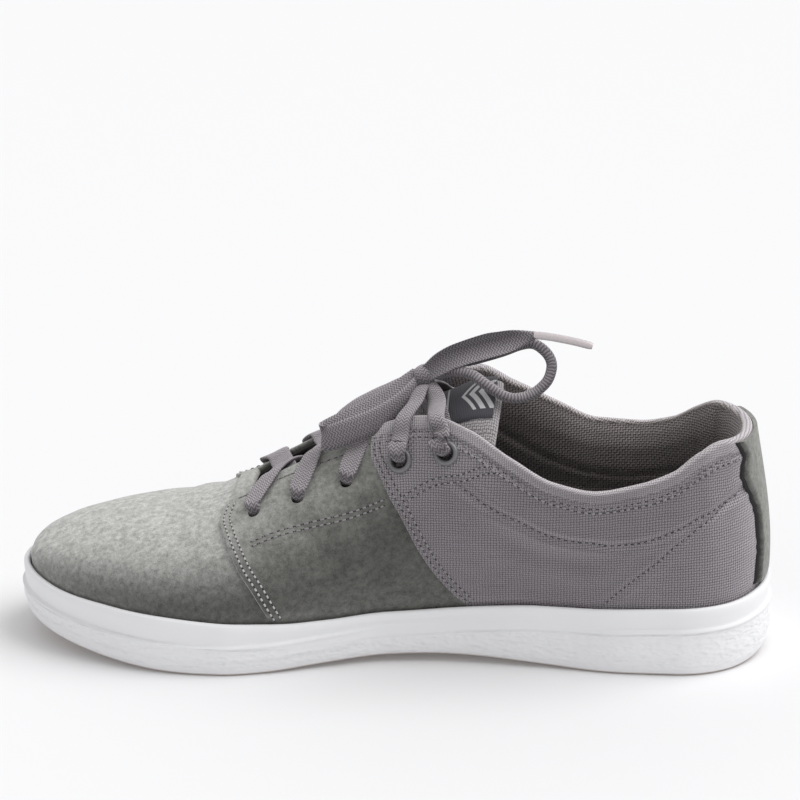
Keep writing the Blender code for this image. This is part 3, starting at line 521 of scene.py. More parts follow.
sole = surface("sole_moulding", grid, cloth, white_rubber, closed=True)
bottom_band_marks = sole.data.attributes.new("bottom_band", 'FLOAT', 'POINT')
rise = (grid[..., 2] - tread).ravel()
bottom_band_marks.data.foreach_set("value", np.where(rise < bottom_band_rise, 0.75, 0.0).astype(np.float32))
seal(sole)
bm = bmesh.new()
for along_at in [first + groove_pitch * i for first, count in groove_rows for i in range(count)]:
    ends = [edge(phi_of(along_at, side))[1] - side * groove_margin for side in (-1, 1)]
    top = max(float(tread_z(phi_of(along_at, side))) for side in (-1, 1)) + groove_deep
    bar = bmesh.ops.create_cube(bm, size=1.0)["verts"]
    bmesh.ops.scale(bm, verts=bar, vec=(groove_wide, ends[1] - ends[0], cutter_high))
    spot = ((0.5 - along_at) * length, (ends[0] + ends[1]) / 2, top - cutter_high / 2)
    bmesh.ops.translate(bm, verts=bar, vec=spot)
carve(sole, bm)
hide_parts("cupsole")
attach(sole, "root")


# Upper
# Grey suede vamp, a second suede panel over it and a canvas quarter over that, each with a cut, stitched
# edge, and a padded collar lined with dark knit. Lasted over the foot's form and cemented into the cup.

wall = 0.0020
suede = 0.0013
canvas = 0.0011
panel_fade = 0.10
pad_depth = 0.0055
rim_wall = 0.0042
heel_lean = 0.0065       # how far the top leans out at the back
hole_radius = 0.0026
eyelet_bore = 0.0029
eyelet_barrel = 0.0036
eyelet_flange = 0.0050
top_line = (
    (0.000, 0.290, 0.270, 0.880, 0.880), (0.050, 0.290, 0.270, 0.890, 0.884),
    (0.087, 0.320, 0.305, 0.862, 0.846),
    (0.130, 0.360, 0.360, 0.795, 0.778), (0.180, 0.383, 0.402, 0.748, 0.744),
    (0.235, 0.387, 0.414, 0.720, 0.750),
    (0.290, 0.372, 0.395, 0.750, 0.822), (0.345, 0.340, 0.360, 0.835, 0.912),
    (0.400, 0.295, 0.320, 0.930, 0.990),
    (0.440, 0.240, 0.245, 0.960, 0.990), (0.478, 0.185, 0.185, 0.935, 0.935),
    (0.550, 0.140, 0.140, 0.830, 0.830),
    (0.640, 0.120, 0.120, 0.693, 0.693), (0.692, 0.112, 0.112, 0.600, 0.600),
    (0.740, 0.108, 0.108, 0.548, 0.548),
    (0.800, 0.100, 0.100, 0.515, 0.515), (0.860, 0.090, 0.090, 0.490, 0.490),
    (0.920, 0.075, 0.075, 0.452, 0.452),
    (0.960, 0.060, 0.060, 0.424, 0.424), (1.000, 0.045, 0.045, 0.415, 0.415),
)
throat_front = 0.688
top_heel_round = (0.085, 2.0)
top_toe_round = (0.20, 2.0)
toe_box_round = (0.07, 2.2)
side_shape = (
    (0.00, 4, 0.35, 80, 0.35), (0.10, 4, 0.35, 86, 0.35), (0.20, 6, 0.35, 92, 0.35),
    (0.30, 7, 0.35, 80, 0.35),
    (0.40, 9, 0.36, 58, 0.35), (0.50, 12, 0.38, 38, 0.38), (0.60, 12, 0.40, 24, 0.42),
    (0.69, 11, 0.42, 12, 0.44),
    (0.74, 10, 0.42, 10, 0.45), (0.85, 10, 0.42, 10, 0.46), (1.00, 12, 0.42, 10, 0.48),
)
crown_blend = (0.55, 0.67)
mid_edge = (
    (0.00, 0.648), (0.10, 0.661), (0.20, 0.673), (0.34, 0.690), (0.50, 0.704), (0.66, 0.716), (0.78, 0.722),
    (0.92, 0.717), (1.00, 0.708),
)
quarter_edge = (
    (0.00, 0.398), (0.16, 0.434), (0.29, 0.457), (0.51, 0.487), (0.63, 0.504), (0.75, 0.518), (0.86, 0.527),
    (0.95, 0.524), (1.00, 0.512),
)
holes = ((0.675, 0.76, False), (0.622, 0.76, False), (0.565, 0.775, False), (0.487, 0.785, True),
    (0.425, 0.84, True))
pad_shape = ((0.00, 0.00), (0.44, 0.00), (0.54, 0.55), (0.66, 0.95), (0.80, 1.00), (0.92, 0.75), (1.00, 0.40))
pad_front = (0.46, 0.39)
up_metres = 0.075         # a step of one in up, in metres, for distances on the side
panel_tuck = 0.07
panel_cut = 0.0004
edge_margin = 0.0006
back_share = 0.6          # what of a panel's thickness is pressed down behind its edge

# Seams and creases on the outside, as (along, up) points with their depth and half width in metres
collar_seam = (
    (0.407, 0.693), (0.377, 0.648), (0.348, 0.633), (0.325, 0.628), (0.304, 0.608), (0.273, 0.588),
    (0.237, 0.588),
    (0.216, 0.558), (0.179, 0.548), (0.153, 0.563), (0.129, 0.588), (0.102, 0.603), (0.073, 0.623),
    (0.045, 0.663),
    (0.032, 0.698),
)
counter_seam = (
    (0.045, 0.663), (0.073, 0.588), (0.102, 0.533), (0.129, 0.467), (0.153, 0.352), (0.177, 0.251),
    (0.201, 0.131),
    (0.220, 0.025),
)
collar_edge_seam = (
    (0.505, 0.93), (0.45, 0.925), (0.40, 0.92), (0.33, 0.905), (0.26, 0.895), (0.18, 0.89), (0.11, 0.90),
    (0.06, 0.915), (0.03, 0.925),
)
roll_line = ((0.47, 0.80), (0.38, 0.70), (0.30, 0.60), (0.20, 0.56), (0.12, 0.60), (0.04, 0.64))
roll_deep, roll_half = 0.0016, 0.0022   # the seam below the collar's roll, inside
lined_from = 46                         # from this row up the throat's inside shows the outer material
fold_on = 14                            # columns of the quarter whose inside is canvas
rim_round = 0.36                        # height of the rolled rim, as a share of the wall
troughs = (
    (collar_seam, 0.0009, 0.0022),
    (counter_seam, 0.0005, 0.0016),
    (collar_edge_seam, 0.0006, 0.0012),
    (((0.80, 0.98), (0.79, 0.80), (0.77, 0.62)), 0.0005, 0.0050),
    (((0.745, 0.95), (0.738, 0.75), (0.728, 0.55)), 0.0006, 0.0035),
    (((0.63, 0.62), (0.60, 0.50), (0.585, 0.33)), 0.0006, 0.0045),
    (((0.545, 0.60), (0.53, 0.42), (0.515, 0.25)), 0.0005, 0.0040),
    (((0.36, 0.48), (0.30, 0.42), (0.24, 0.40)), 0.0006, 0.0055),
)


def lip_point(phi):
    return ring(phi, np.full(phi.shape, lip_width + clear), tread_z(phi) + wall_height(phi))


def top_point(phi):
    along = along_of(phi)
    side = side_of(phi)
    gap = np.where(side < 0, smooth(along, top_line, 1), smooth(along, top_line, 2)) * ball_width
    gap = gap * rounded(along, *top_heel_round) * rounded(1 - along, *top_toe_round)
    height = np.where(side < 0, smooth(along, top_line, 3), smooth(along, top_line, 4)) * instep_height
    base = 0.5 * (tread_z(phi) + tread_z(-phi)) + wall_height(phi)
    height = base + (height - base) * rounded(1 - along, *toe_box_round)
    x = lip_point(phi)[..., 0] - heel_lean * np.clip(1 - along / 0.15, 0, 1) ** 1.5
    return np.stack([x, side * gap, height], -1)


def skin(phi, up):
    phi, up = np.broadcast_arrays(np.asarray(phi, float), np.asarray(up, float))
    along = along_of(phi)
    low, top = lip_point(phi), top_point(phi)
    n = outward(phi)
    lean = np.radians(smooth(along, side_shape, 1))
    fall = np.radians(smooth(along, side_shape, 3))
    chord = np.linalg.norm(top - low, axis=-1)[..., None]
    rise = np.stack([np.sin(lean) * n[..., 0], np.sin(lean) * n[..., 1], np.cos(lean)], -1)
    across = ramp(along, *crown_blend)[..., None]
    d = unit(n * (1 - across) + np.stack([np.zeros_like(along), side_of(phi)], -1) * across)
    drop = np.stack([np.cos(fall) * d[..., 0], np.cos(fall) * d[..., 1], -np.sin(fall)], -1)
    handle_low = low + rise * smooth(along, side_shape, 2)[..., None] * chord
    handle_top = top + drop * smooth(along, side_shape, 4)[..., None] * chord
    s = up[..., None]
    return (1 - s)**3 * low + 3 * (1 - s)**2 * s * handle_low + 3 * (1 - s) * s**2 * handle_top + s**3 * top


def skin_normal(phi, up):
    step = 0.004
    du = skin(phi + step, up) - skin(phi - step, up)
    return unit(np.cross(du, skin(phi, np.clip(up + step, 0, 1)) - skin(phi, np.clip(up - step, 0, 1))))


def crown(along, across):
    along, across = np.broadcast_arrays(np.asarray(along, float), np.asarray(across, float))
    a, b = top_point(phi_of(along, -1)), top_point(phi_of(along, 1))
    p = a * (0.5 - 0.5 * across)[..., None] + b * (0.5 + 0.5 * across)[..., None]
    half = 0.5 * (b[..., 1] - a[..., 1])
    fall = np.radians(smooth(along, side_shape, 3))
    p[..., 2] += half * np.tan(fall) / 2 * (1 - across**2)
    return p


def crown_normal(along, across):
    step = 0.002
    du = crown(np.clip(along - step, 0, 1), across) - crown(np.clip(along + step, 0, 1), across)
    return unit(np.cross(du, crown(along, across + step) - crown(along, across - step)))


def stand_off(along, up, on_mid=1.0, on_quarter=1.0):
    # how far the panels stand off the vamp; the shares turn the cut edges over
    first, second = smooth(up, mid_edge, 1), smooth(up, quarter_edge, 1)
    mid = suede * (1 - back_share * ramp(first - along, 0, panel_fade))
    left = suede * (1 - back_share * ramp(first - second, 0, panel_fade))
    quarter = (left + canvas) * (1 - 0.8 * ramp(second - along, 0, 1.6 * panel_fade))
    tucked = ramp(up, 0, panel_tuck)
    margin = edge_margin / length
    forward = np.where(along <= first + margin, mid * on_mid, 0.0)
    return np.where(along <= second + margin, left + (quarter - left) * on_quarter, forward) * tucked


def wall_at(along, up):
    pad = pad_depth * smooth(up, pad_shape, 1)
    return wall + ramp(along, *pad_front) * np.where(up > 0.999, rim_wall - wall, pad)


def seam_gap(along, up, line):
    # distance in metres from a line drawn on the side
    along, up = np.broadcast_arrays(along, up)
    p = np.stack([along * length, up * up_metres], -1)
    best = np.full(p.shape[:-1], 1.0)
    pts = np.array(line, float) * (length, up_metres)
    for a, b in zip(pts[:-1], pts[1:]):
        t = np.clip(((p - a) @ (b - a)) / ((b - a) @ (b - a)), 0, 1)
        best = np.minimum(best, np.linalg.norm(p - a - t[..., None] * (b - a), axis=-1))
    return best


def pressed(along, up):
    # seams and creases pressed into the outside
    depth = np.zeros(np.broadcast(along, up).shape)
    for line, deep, half in troughs:
        gap = seam_gap(along, up, line) / half
        depth -= deep * np.exp(-gap**2) - 0.35 * deep * np.exp(-((gap - 1.9) / 0.8)**2)
    return depth


rows = np.linspace(0, 1, 57)
first, second = smooth(rows, mid_edge, 1), smooth(rows, quarter_edge, 1)
throat = first - (first[-1] - throat_front)
hair = panel_cut / length
columns, lifts = [], []
stops = (
    (np.ones_like(rows), first + hair, 58, 0, 0), (first + hair, first + 0.5 * hair, 1, 0, 0),
    (first + 0.5 * hair, first, 1, 0.6, 0), (first, first - hair, 1, 0.93, 0),
    (first - hair, throat, 9, 1, 0),
    (throat, second + hair, 30, 1, 0), (second + hair, second + 0.5 * hair, 1, 1, 0),
    (second + 0.5 * hair, second, 1, 1, 0.6), (second, second - hair, 1, 1, 0.93),
    (second - hair, np.zeros_like(rows), 110, 1, 1),
)
for a, b, count, on_mid, on_quarter in stops:
    angle_a, angle_b = phi_of(a, 1), phi_of(b, 1)
    for i in range(count):
        columns.append(angle_a + (angle_b - angle_a) * i / count)
        lifts.append((on_mid, on_quarter))
columns.append(phi_of(np.zeros_like(rows), 1))
lifts.append((1, 1))
angles = np.array(columns)
share = np.array(lifts, float)
mid_start, throat_col, quarter_start = 59, 70, 101
run_table = np.linspace(0, math.pi, 2000)
run_length = np.concatenate([[0], np.cumsum(np.linalg.norm(np.diff(edge(run_table), axis=0), axis=1))])

sheets = []
tops = {}
for side in (-1, 1):
    phi = side * angles
    along = along_of(phi)
    up = np.broadcast_to(rows, phi.shape)
    p = skin(phi, up)
    n = skin_normal(phi, up)
    n[0] = (-1.0, 0.0, 0.0)
    foot = np.concatenate([outward(phi), np.zeros(phi.shape + (1,))], -1)
    n = unit(n * ramp(up, 0, 0.05)[..., None] + foot * (1 - ramp(up, 0, 0.05))[..., None])
    lift = stand_off(along, up, share[:, :1], share[:, 1:])
    outer = p + n * (lift + pressed(along, up) * ramp(up, 0.02, 0.1))[..., None]
    inner = p - n * wall_at(along, up)[..., None]
    roll = seam_gap(along, up, roll_line) / roll_half
    inner += n * (roll_deep * np.exp(-roll**2))[..., None]
    inner[:, 0] = p[:, 0] - foot[:, 0] * wall
    skirt = outer[:, :1].copy()
    skirt[..., 2] = bed_z(phi[:, :1]) + clear
    skirt_in = inner[:, :1].copy()
    skirt_in[..., 2] = skirt[..., 2]
    outer = np.concatenate([skirt, outer], 1)
    inner = np.concatenate([skirt_in, inner], 1)
    u = side * np.interp(angles, run_table, run_length)
    u = np.concatenate([u[:, :1], u], 1)
    steps = np.linalg.norm(np.diff(outer, axis=1), axis=-1)
    v = np.concatenate([np.zeros((len(angles), 1)), np.cumsum(steps, 1)], 1)
    cloth = np.stack([u, v], -1)
    slots = np.zeros((len(angles) - 1, outer.shape[1] - 1), int)
    slots[mid_start:quarter_start] = 1
    slots[quarter_start:] = 2
    middle_up = np.concatenate([[0], 0.5 * (rows[1:] + rows[:-1])])
    middle_along = 0.5 * (along[1:] + along[:-1])
    between_rows = 0.5 * (middle_along[:, 1:] + middle_along[:, :-1])
    middle_along = np.concatenate([middle_along[:, :1], between_rows], 1)
    seam_rows = sorted([(b, a) for a, b in counter_seam])
    seam = smooth(np.broadcast_to(middle_up, middle_along.shape), seam_rows, 1)
    # the heel counter below its seam gets the canvas copy with painted light
    heel = (middle_along < seam) & (middle_up < 0.66) & (slots == 2)
    slots[heel] = 3
    slots[(slots >= 2) & (middle_up > 0.945)] = 4
    sheets.append((outer, cloth, slots))
    inner_slots = np.full(slots.shape, 5)
    inner_slots[throat_col:quarter_start, lined_from:] = 1
    inner_slots[quarter_start:quarter_start + fold_on, lined_from:] = 2
    sheets.append((inner[:, ::-1], cloth[:, ::-1], inner_slots[:, ::-1]))
    sheets.append((np.stack([skirt[:, 0], skirt_in[:, 0]], 1), np.zeros((len(angles), 2, 2)), 5))
    top_out, top_in, below = outer[throat_col:, -1], inner[throat_col:, -1], outer[throat_col:, -3]
    middle, half = (top_out + top_in) / 2, (top_out - top_in) / 2
    crest = unit(top_out - below) * rim_round * np.linalg.norm(top_out - top_in, axis=-1)[:, None]
    turn = np.linspace(0, math.pi, 9)
    rim = middle[:, None] + half[:, None] * np.cos(turn)[:, None] + crest[:, None] * np.sin(turn)[:, None]
    rim_v = cloth[throat_col:, -1:, 1] + 0.0005 * np.arange(9)
    rim_cloth = np.stack([np.broadcast_to(cloth[throat_col:, -1:, 0], rim_v.shape), rim_v], -1)
    rim_slots = np.full((rim.shape[0] - 1, 8), 4)
    rim_slots[quarter_start + fold_on - throat_col:, 5:] = 5
    rim_slots[:quarter_start - throat_col] = 1
    sheets.append((rim, rim_cloth, rim_slots))
    tops[side] = (outer[:throat_col + 1, -1], inner[:throat_col + 1, -1])

across = np.linspace(-1, 1, 17)
crown_along = along_of(angles[:throat_col + 1, -1])[:, None]
p = crown(crown_along, across[None])
n = crown_normal(np.broadcast_to(crown_along, p.shape[:2]), np.broadcast_to(across, p.shape[:2]))
n[0] = (-1.0, 0.0, 0.0)
lift = stand_off(crown_along, np.ones((1, 17)), share[:throat_col + 1, :1], share[:throat_col + 1, 1:])
lift = lift + pressed(crown_along, 0.99 + 0 * across[None])
outer = p + n * lift[..., None]
inner = p - n * wall
outer[:, 0], outer[:, -1] = tops[-1][0], tops[1][0]
inner[:, 0], inner[:, -1] = tops[-1][1], tops[1][1]
cloth = np.stack([p[..., 0], p[..., 1]], -1)
slots = np.zeros((throat_col, 16), int)
slots[mid_start:] = 1
sheets.append((outer, cloth, slots))
sheets.append((inner[:, ::-1], cloth[:, ::-1], 5))
turn = np.linspace(0, math.pi, 9)[:, None, None]
front_out, front_in = outer[-1], inner[-1]
back_way = unit(front_out - outer[-2]) * rim_round * np.linalg.norm(front_out - front_in, axis=-1)[:, None]
rim = (front_out + front_in) / 2 + (front_out - front_in) / 2 * np.cos(turn) + back_way * np.sin(turn)
sheets.append((rim, np.stack([rim[..., 0], rim[..., 1]], -1), 1))


def patchwork(name, sheets, mats):
    # several grids joined into one mesh, each with cloth coordinates and material slots
    verts, quads, uv, slot = [], [], [], []
    for grid, cloth, slots in sheets:
        base = sum(len(v) for v in verts)
        a, b = grid.shape[:2]
        i, j = np.meshgrid(np.arange(a - 1), np.arange(b - 1), indexing='ij')
        q = np.stack([i * b + j, (i + 1) * b + j, (i + 1) * b + j + 1, i * b + j + 1], -1).reshape(-1, 4)
        verts.append(grid.reshape(-1, 3))
        quads.append(q + base)
        uv.append(cloth.reshape(-1, 2)[q.ravel()])
        slot.append(np.broadcast_to(slots, (a - 1, b - 1)).ravel())
    mesh = bpy.data.meshes.new(name)
    mesh.from_pydata(np.vstack(verts).tolist(), [], np.vstack(quads).tolist())
    layer = mesh.uv_layers.new(name="cloth")
    layer.data.foreach_set("uv", np.vstack(uv).astype(np.float32).ravel())
    for m in mats:
        mesh.materials.append(m)
    mesh.polygons.foreach_set("material_index", np.concatenate(slot).astype(np.int32))
    mesh.shade_smooth()
    return show(name, mesh)


# Suede: short nap, dark straight on and brushed in patches; napped() adds a painted sheen where it is seen
# across and painted light where it faces up
nap, nap_in, nap_out = group(
    "nap", (("Place", 'NodeSocketVector'),), (("Patch", 'NodeSocketFloat'), ("Fibre", 'NodeSocketFloat')))
wide = noise(nap, nap_in, 42.0, 6.0)
wide.inputs["Roughness"].default_value = 0.62
wide.inputs["Distortion"].default_value = 0.6
tuft = noise(nap, nap_in, 420.0, 5.0)
tuft.inputs["Roughness"].default_value = 0.7
fibre = noise(nap, nap_in, 2600.0)
mixed = maths(nap, 'MULTIPLY', wide, 0.62)
part_two = maths(nap, 'MULTIPLY', tuft, 0.38)
mixed = maths(nap, 'ADD', mixed, part_two)
hair_two = maths(nap, 'MULTIPLY', fibre, 0.5)
hair_all = maths(nap, 'ADD', tuft, hair_two)
join(nap, mixed, nap_out.inputs[0])
join(nap, hair_all, nap_out.inputs[1])


def napped(name, dark, light, pale, painted_top_light):
    m, tree, shader = finish_of(name, dark, 0.95, 0.1)
    own = own_place(tree)
    fur = tree.nodes.new("ShaderNodeGroup")
    fur.node_tree = nap
    join(tree, own, fur.inputs[0])
    patch = remap(tree, fur, 0.15, 0.85)
    body = blend(tree, patch, dark, light)
    # painted sheen where the nap is seen across and painted light where it faces up
    body = paint_sheen_and_top_light(tree, body, pale, 0.75, painted_top_light)
    speck = remap(tree, fur.outputs[1], 0.50, 0.95, 0.55, 1.45)
    body = scaled(tree, body, speck)
    paint(tree, shader, body)
    shader.inputs["Sheen Weight"].default_value = 0.25
    shader.inputs["Sheen Roughness"].default_value = 0.6
    bump(tree, shader, fur.outputs[1], 0.00035)
    return m


vamp_suede = napped("vamp_suede", (0.052, 0.053, 0.049), (0.072, 0.072, 0.067), (0.48, 0.48, 0.46), 0.58)
panel_suede = napped("panel_suede", (0.050, 0.051, 0.046), (0.068, 0.068, 0.062), (0.40, 0.40, 0.375), 0.52)
canvas_mat = woven("grey_canvas", (0.16, 0.15, 0.16), 0.9, 880.0, 0.00032, (0.082, 0.075, 0.082),
    (0.205, 0.189, 0.203), (0.50, 0.465, 0.49))
# the heel counter's canvas is a lighter copy of the grey canvas: painted light from the side
painted_light_counter_mat = woven("painted_light_counter_canvas", (0.16, 0.15, 0.16), 0.9, 880.0, 0.00032, (0.082, 0.075, 0.082),
    (0.225, 0.208, 0.223), (0.56, 0.525, 0.55))
binding_mat = woven("folded_edge", (0.22, 0.2, 0.21), 0.9, 1150.0, 0.00022, (0.10, 0.09, 0.098),
    (0.27, 0.25, 0.265), (0.58, 0.545, 0.565))
knit = (900.0, 0.0004, (0.045, 0.039, 0.038), (0.165, 0.145, 0.143), (0.60, 0.555, 0.55), 0.8)
lining_mat = woven("knit_lining", (0.08, 0.072, 0.072), 0.95, *knit)
upper_mats = [vamp_suede, panel_suede, canvas_mat, painted_light_counter_mat, binding_mat, lining_mat]
upper = patchwork("lasted_upper", sheets, upper_mats)
seal(upper, weld=3e-6, sharp=50)

# The lace holes are cut through, with one set of round cutters
bm = bmesh.new()


def hole_frame(along, up, side):
    phi = phi_of(along, side)
    n = skin_normal(phi, up)
    return skin(phi, up) + n * stand_off(along, up), n


for along_at, up_at, ringed in holes:
    for side in (-1, 1):
        p, n = hole_frame(along_at, up_at, side)
        radius = eyelet_barrel if ringed else hole_radius
        sizes = {"radius1": radius, "radius2": radius, "depth": 0.03}
        made = bmesh.ops.create_cone(bm, cap_ends=True, segments=28, **sizes)["verts"]
        turn = Vector((0, 0, 1)).rotation_difference(Vector(n)).to_matrix().to_4x4()
        bmesh.ops.transform(bm, matrix=Matrix.Translation(Vector(p)) @ turn, verts=made)
carve(upper, bm)
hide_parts("upper")
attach(upper, "root")


# Insole
# A foam footbed with a dark knitted cover, laid loose in the cup.

insole_mat = woven("footbed_cloth", (0.06, 0.055, 0.055), 0.95, 800.0, 0.0003, (0.02, 0.018, 0.018),
    (0.075, 0.068, 0.068), (0.14, 0.13, 0.13), 0.8)
phi, _ = even_angles(240)
inset = np.full(phi.shape, lip_width + clear + wall + 0.0007)
base = bed_z(phi) + clear
footbed = [ring(phi, inset, base), ring(phi, inset, base + 0.0030), ring(phi, inset + 0.0003, base + 0.0037),
           ring(phi, inset + 0.0012, base + 0.0040)]
for shrink in (0.25, 0.5, 0.75, 0.97):
    flat = footbed[3].copy()
    flat[:, 1] *= 1 - shrink
    footbed.append(flat)
grid = np.array(footbed)
insole = surface("footbed", grid, np.stack([grid[..., 0], grid[..., 1]], -1), insole_mat, closed=True)
seal(insole, weld=1e-6, sharp=60)
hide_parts("insole")
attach(insole, "root")


# Tongue
# Padded canvas strip, sewn in under the front of the throat and arched over the instep, its free end bound.

tongue_rows = (
    (0.735, 0.110, 0.520, 0.008), (0.690, 0.130, 0.573, 0.020), (0.640, 0.165, 0.650, 0.045),
    (0.560, 0.200, 0.780, 0.080), (0.490, 0.225, 0.890, 0.125), (0.430, 0.245, 0.968, 0.165),
    (0.380, 0.265, 1.025, 0.200), (0.357, 0.262, 1.030, 0.205),
)
tongue_thick = 0.0050
cloth_half = 0.0276        # half its width, in cloth metres


def tongue_point(along, across, depth):
    half = smooth(along, tongue_rows, 1) * ball_width
    crest = smooth(along, tongue_rows, 2) * instep_height
    drop = smooth(along, tongue_rows, 3) * instep_height
    a = np.abs(across)
    return np.stack([(0.5 - along) * length + 0 * a, half * across, crest - drop * a**2 - depth], -1)


def tongue_curve(along, across):
    # the free end is cut to an arch: its corners lie further forward than its middle
    reach = 0.010 * ramp(along, 0.44, 0.357)
    return along + reach * np.abs(across) ** 2.5


tongue_mat = woven("tongue_canvas", (0.2, 0.19, 0.2), 0.9, 1150.0, 0.00028, (0.11, 0.10, 0.108),
    (0.30, 0.28, 0.295), (0.50, 0.47, 0.48))
back_mat = woven("tongue_lining", (0.08, 0.072, 0.072), 0.95, *knit)
along = np.linspace(tongue_rows[0][0], tongue_rows[-1][0], 90)
across = np.linspace(-1, 1, 61)
round_edge = rounded(1 - np.abs(across), 0.25, 2.0)
rings, cloth = [], []
for i, u in enumerate(along):
    tip = min(i, len(along) - 1 - i) / 5
    end = 0.30 + 0.70 * math.sqrt(max(0.0, 1 - (1 - min(tip, 1.0))**2))
    thick = tongue_thick * (0.30 + 0.70 * round_edge) * end
    hem = 0.0004 * np.exp(-(((along[-1] + 0.022 - u) * length) / 0.0012)**2)
    quilt = 0.0006 * np.exp(-((np.abs(across) - 0.80) / 0.03)**2)
    middle = tongue_thick / 2
    at = tongue_curve(u, across)
    high = tongue_point(at, across, middle - thick / 2 + quilt + hem)
    deep = tongue_point(at, across, middle + thick / 2)[::-1]
    rings.append(np.vstack([high, deep]))
    v = across * cloth_half
    cloth.append(np.stack([np.full(122, u * length), np.concatenate([v, v[::-1]])], -1))
slots = np.zeros((89, 122), int)
slots[:, 61:] = 1
tongue_mats = [tongue_mat, back_mat]
tongue = surface("padded_tongue", np.array(rings), np.array(cloth), tongue_mats, closed=True, slots=slots)
seal(tongue, weld=1e-6, sharp=70)
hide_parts("tongue")
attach(tongue, "root")


# Tongue label
# A woven band sewn across the tongue near its free end, with three plain pale chevrons and a pale edge line.

bars_at = ((0.1142, 0.1164), (0.1180, 0.1202), (0.1218, 0.1232))
line_at = (0.1282, 0.1288)
bars_wide = 0.0072
mark_middle = 0.0085
label_mat, tree, shader = finish_of("woven_label", (0.06, 0.06, 0.072), 0.75)
place = add(tree, "UVMap", uv_map="cloth")
spot = add(tree, "SeparateXYZ", {0: place})


def between(tree, value, low, high):
    # 1 where low < value < high
    a = maths(tree, 'GREATER_THAN', value, low)
    b = maths(tree, 'LESS_THAN', value, high)
    return maths(tree, 'MULTIPLY', a, b)


fold = maths(tree, 'ADD', spot.outputs[1], mark_middle)
fold = maths(tree, 'ABSOLUTE', fold)
slope = maths(tree, 'MULTIPLY', fold, 0.75)
tilt = maths(tree, 'ADD', spot, slope)
near = maths(tree, 'LESS_THAN', fold, bars_wide)
marks = None
for low, high in bars_at:
    band = between(tree, tilt, low, high)
    marks = band if marks is None else maths(tree, 'MAXIMUM', marks, band)
marks = maths(tree, 'MULTIPLY', marks, near)
edge_line = between(tree, spot, *line_at)
marks = maths(tree, 'MAXIMUM', marks, edge_line)
ribs = add(tree, "TexWave", {"Vector": place, "Scale": 420.0, "Distortion": 0.3})
body = blend(tree, marks, (0.058, 0.057, 0.068), (0.62, 0.62, 0.63))
# painted sheen: the label is paler where it is seen across
facing = add(tree, "LayerWeight", {0: 0.45})
body = blend(tree, maths(tree, 'MULTIPLY', facing.outputs["Facing"], 0.3), body, (0.30, 0.29, 0.31))
paint(tree, shader, body)
bump(tree, shader, ribs, 0.0001)
along = np.linspace(0.365, 0.440, 26)
across = np.linspace(-0.66, 0.62, 61)
rings, cloth = [], []
for u in along:
    at = tongue_curve(u, across)
    edge_drop = 0.0005 * (1 - rounded(np.minimum(1 - np.abs(across / 0.66), 0.5), 0.06, 2.0))
    high = tongue_point(at, across, -0.0014 + edge_drop)
    deep = tongue_point(at, across, -0.0003)[::-1]
    rings.append(np.vstack([high, deep]))
    v = across * cloth_half
    cloth.append(np.stack([np.full(122, u * length), np.concatenate([v, v[::-1]])], -1))
label = surface("tongue_band", np.array(rings), np.array(cloth), label_mat, closed=True)
seal(label, weld=1e-6, sharp=40)
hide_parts("tongue_label")
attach(label, "root")


# Heel tab
# Strip of greenish grey suede over the back seam, pinched below its top, with a dark line along its raw edge.

tab_edge = (
    (0.00, 13.5), (0.30, 12.0), (0.50, 12.5), (0.64, 15.0), (0.72, 17.5), (0.80, 18.5), (0.90, 16.5),
    (1.00, 19.5),
)
tab_thick = 0.0014
tab_mat = napped("heel_suede", (0.065, 0.066, 0.060), (0.090, 0.090, 0.082), (0.27, 0.27, 0.25), 0.25)
dark_mat, tree, shader = finish_of("tab_dark_edge", (0.012, 0.011, 0.012), 0.9)
own = own_place(tree)
frayed = noise(tree, own, 1800.0, 3.0)
bump(tree, shader, frayed, 0.0004)
up = np.linspace(0.03, 1.0, 120)
rings, cloth, strip = [], [], []
border = np.radians(1.9)
for u in up:
    reach = math.radians(float(smooth(u, tab_edge, 1)))
    reach += math.radians(0.22) * math.sin(52 * u + 1.9 * math.sin(23 * u))
    phi = np.linspace(-reach, reach, 41)
    level = np.full(phi.shape, u)
    p, n = skin(phi, level), skin_normal(phi, level)
    lift = stand_off(along_of(phi), level) + 0.0003
    edge_round = 1 - 0.7 * (1 - rounded(1 - np.abs(phi / reach), 0.08, 2.0))
    high = p + n * (lift + (0.0002 + tab_thick) * edge_round)[..., None]
    deep = (p + n * lift[..., None])[::-1]
    rings.append(np.vstack([high, deep]))
    arc = np.cumsum(np.concatenate([[0], np.linalg.norm(np.diff(p, axis=0), axis=1)]))
    v = np.concatenate([arc, arc[::-1]])
    cloth.append(np.stack([v, np.full(82, u * 0.066)], -1))
    outer_phi = np.linspace(-reach - border, -reach + 0.2 * border, 5)
    strip.append((outer_phi, u))
tab = surface("heel_tape", np.array(rings), np.array(cloth), tab_mat, closed=True)
seal(tab, weld=1e-6, sharp=50)
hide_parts("heel_tab")
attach(tab, "root")
for word, flip in (("medial", 1), ("lateral", -1)):
    lines, cloth = [], []
    for outer_phi, u in strip:
        phi = outer_phi * flip
        level = np.full(phi.shape, u)
        p, n = skin(phi, level), skin_normal(phi, level)
        lift = stand_off(along_of(phi), level) + 0.0001 + 0.0007 * np.array([0.0, 0.8, 1.0, 0.8, 0.3])
        lines.append(p + n * lift[..., None])
        cloth.append(np.stack([np.arange(5) * 0.0004, np.full(5, u * 0.066)], -1))
    dark = surface(f"tab_edge_{word}", np.array(lines), np.array(cloth), dark_mat)
    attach(dark, "root")


# Eyelets
# Two pairs of satin grey rolled rings at the top of the throat; the three lower pairs of holes are bare.

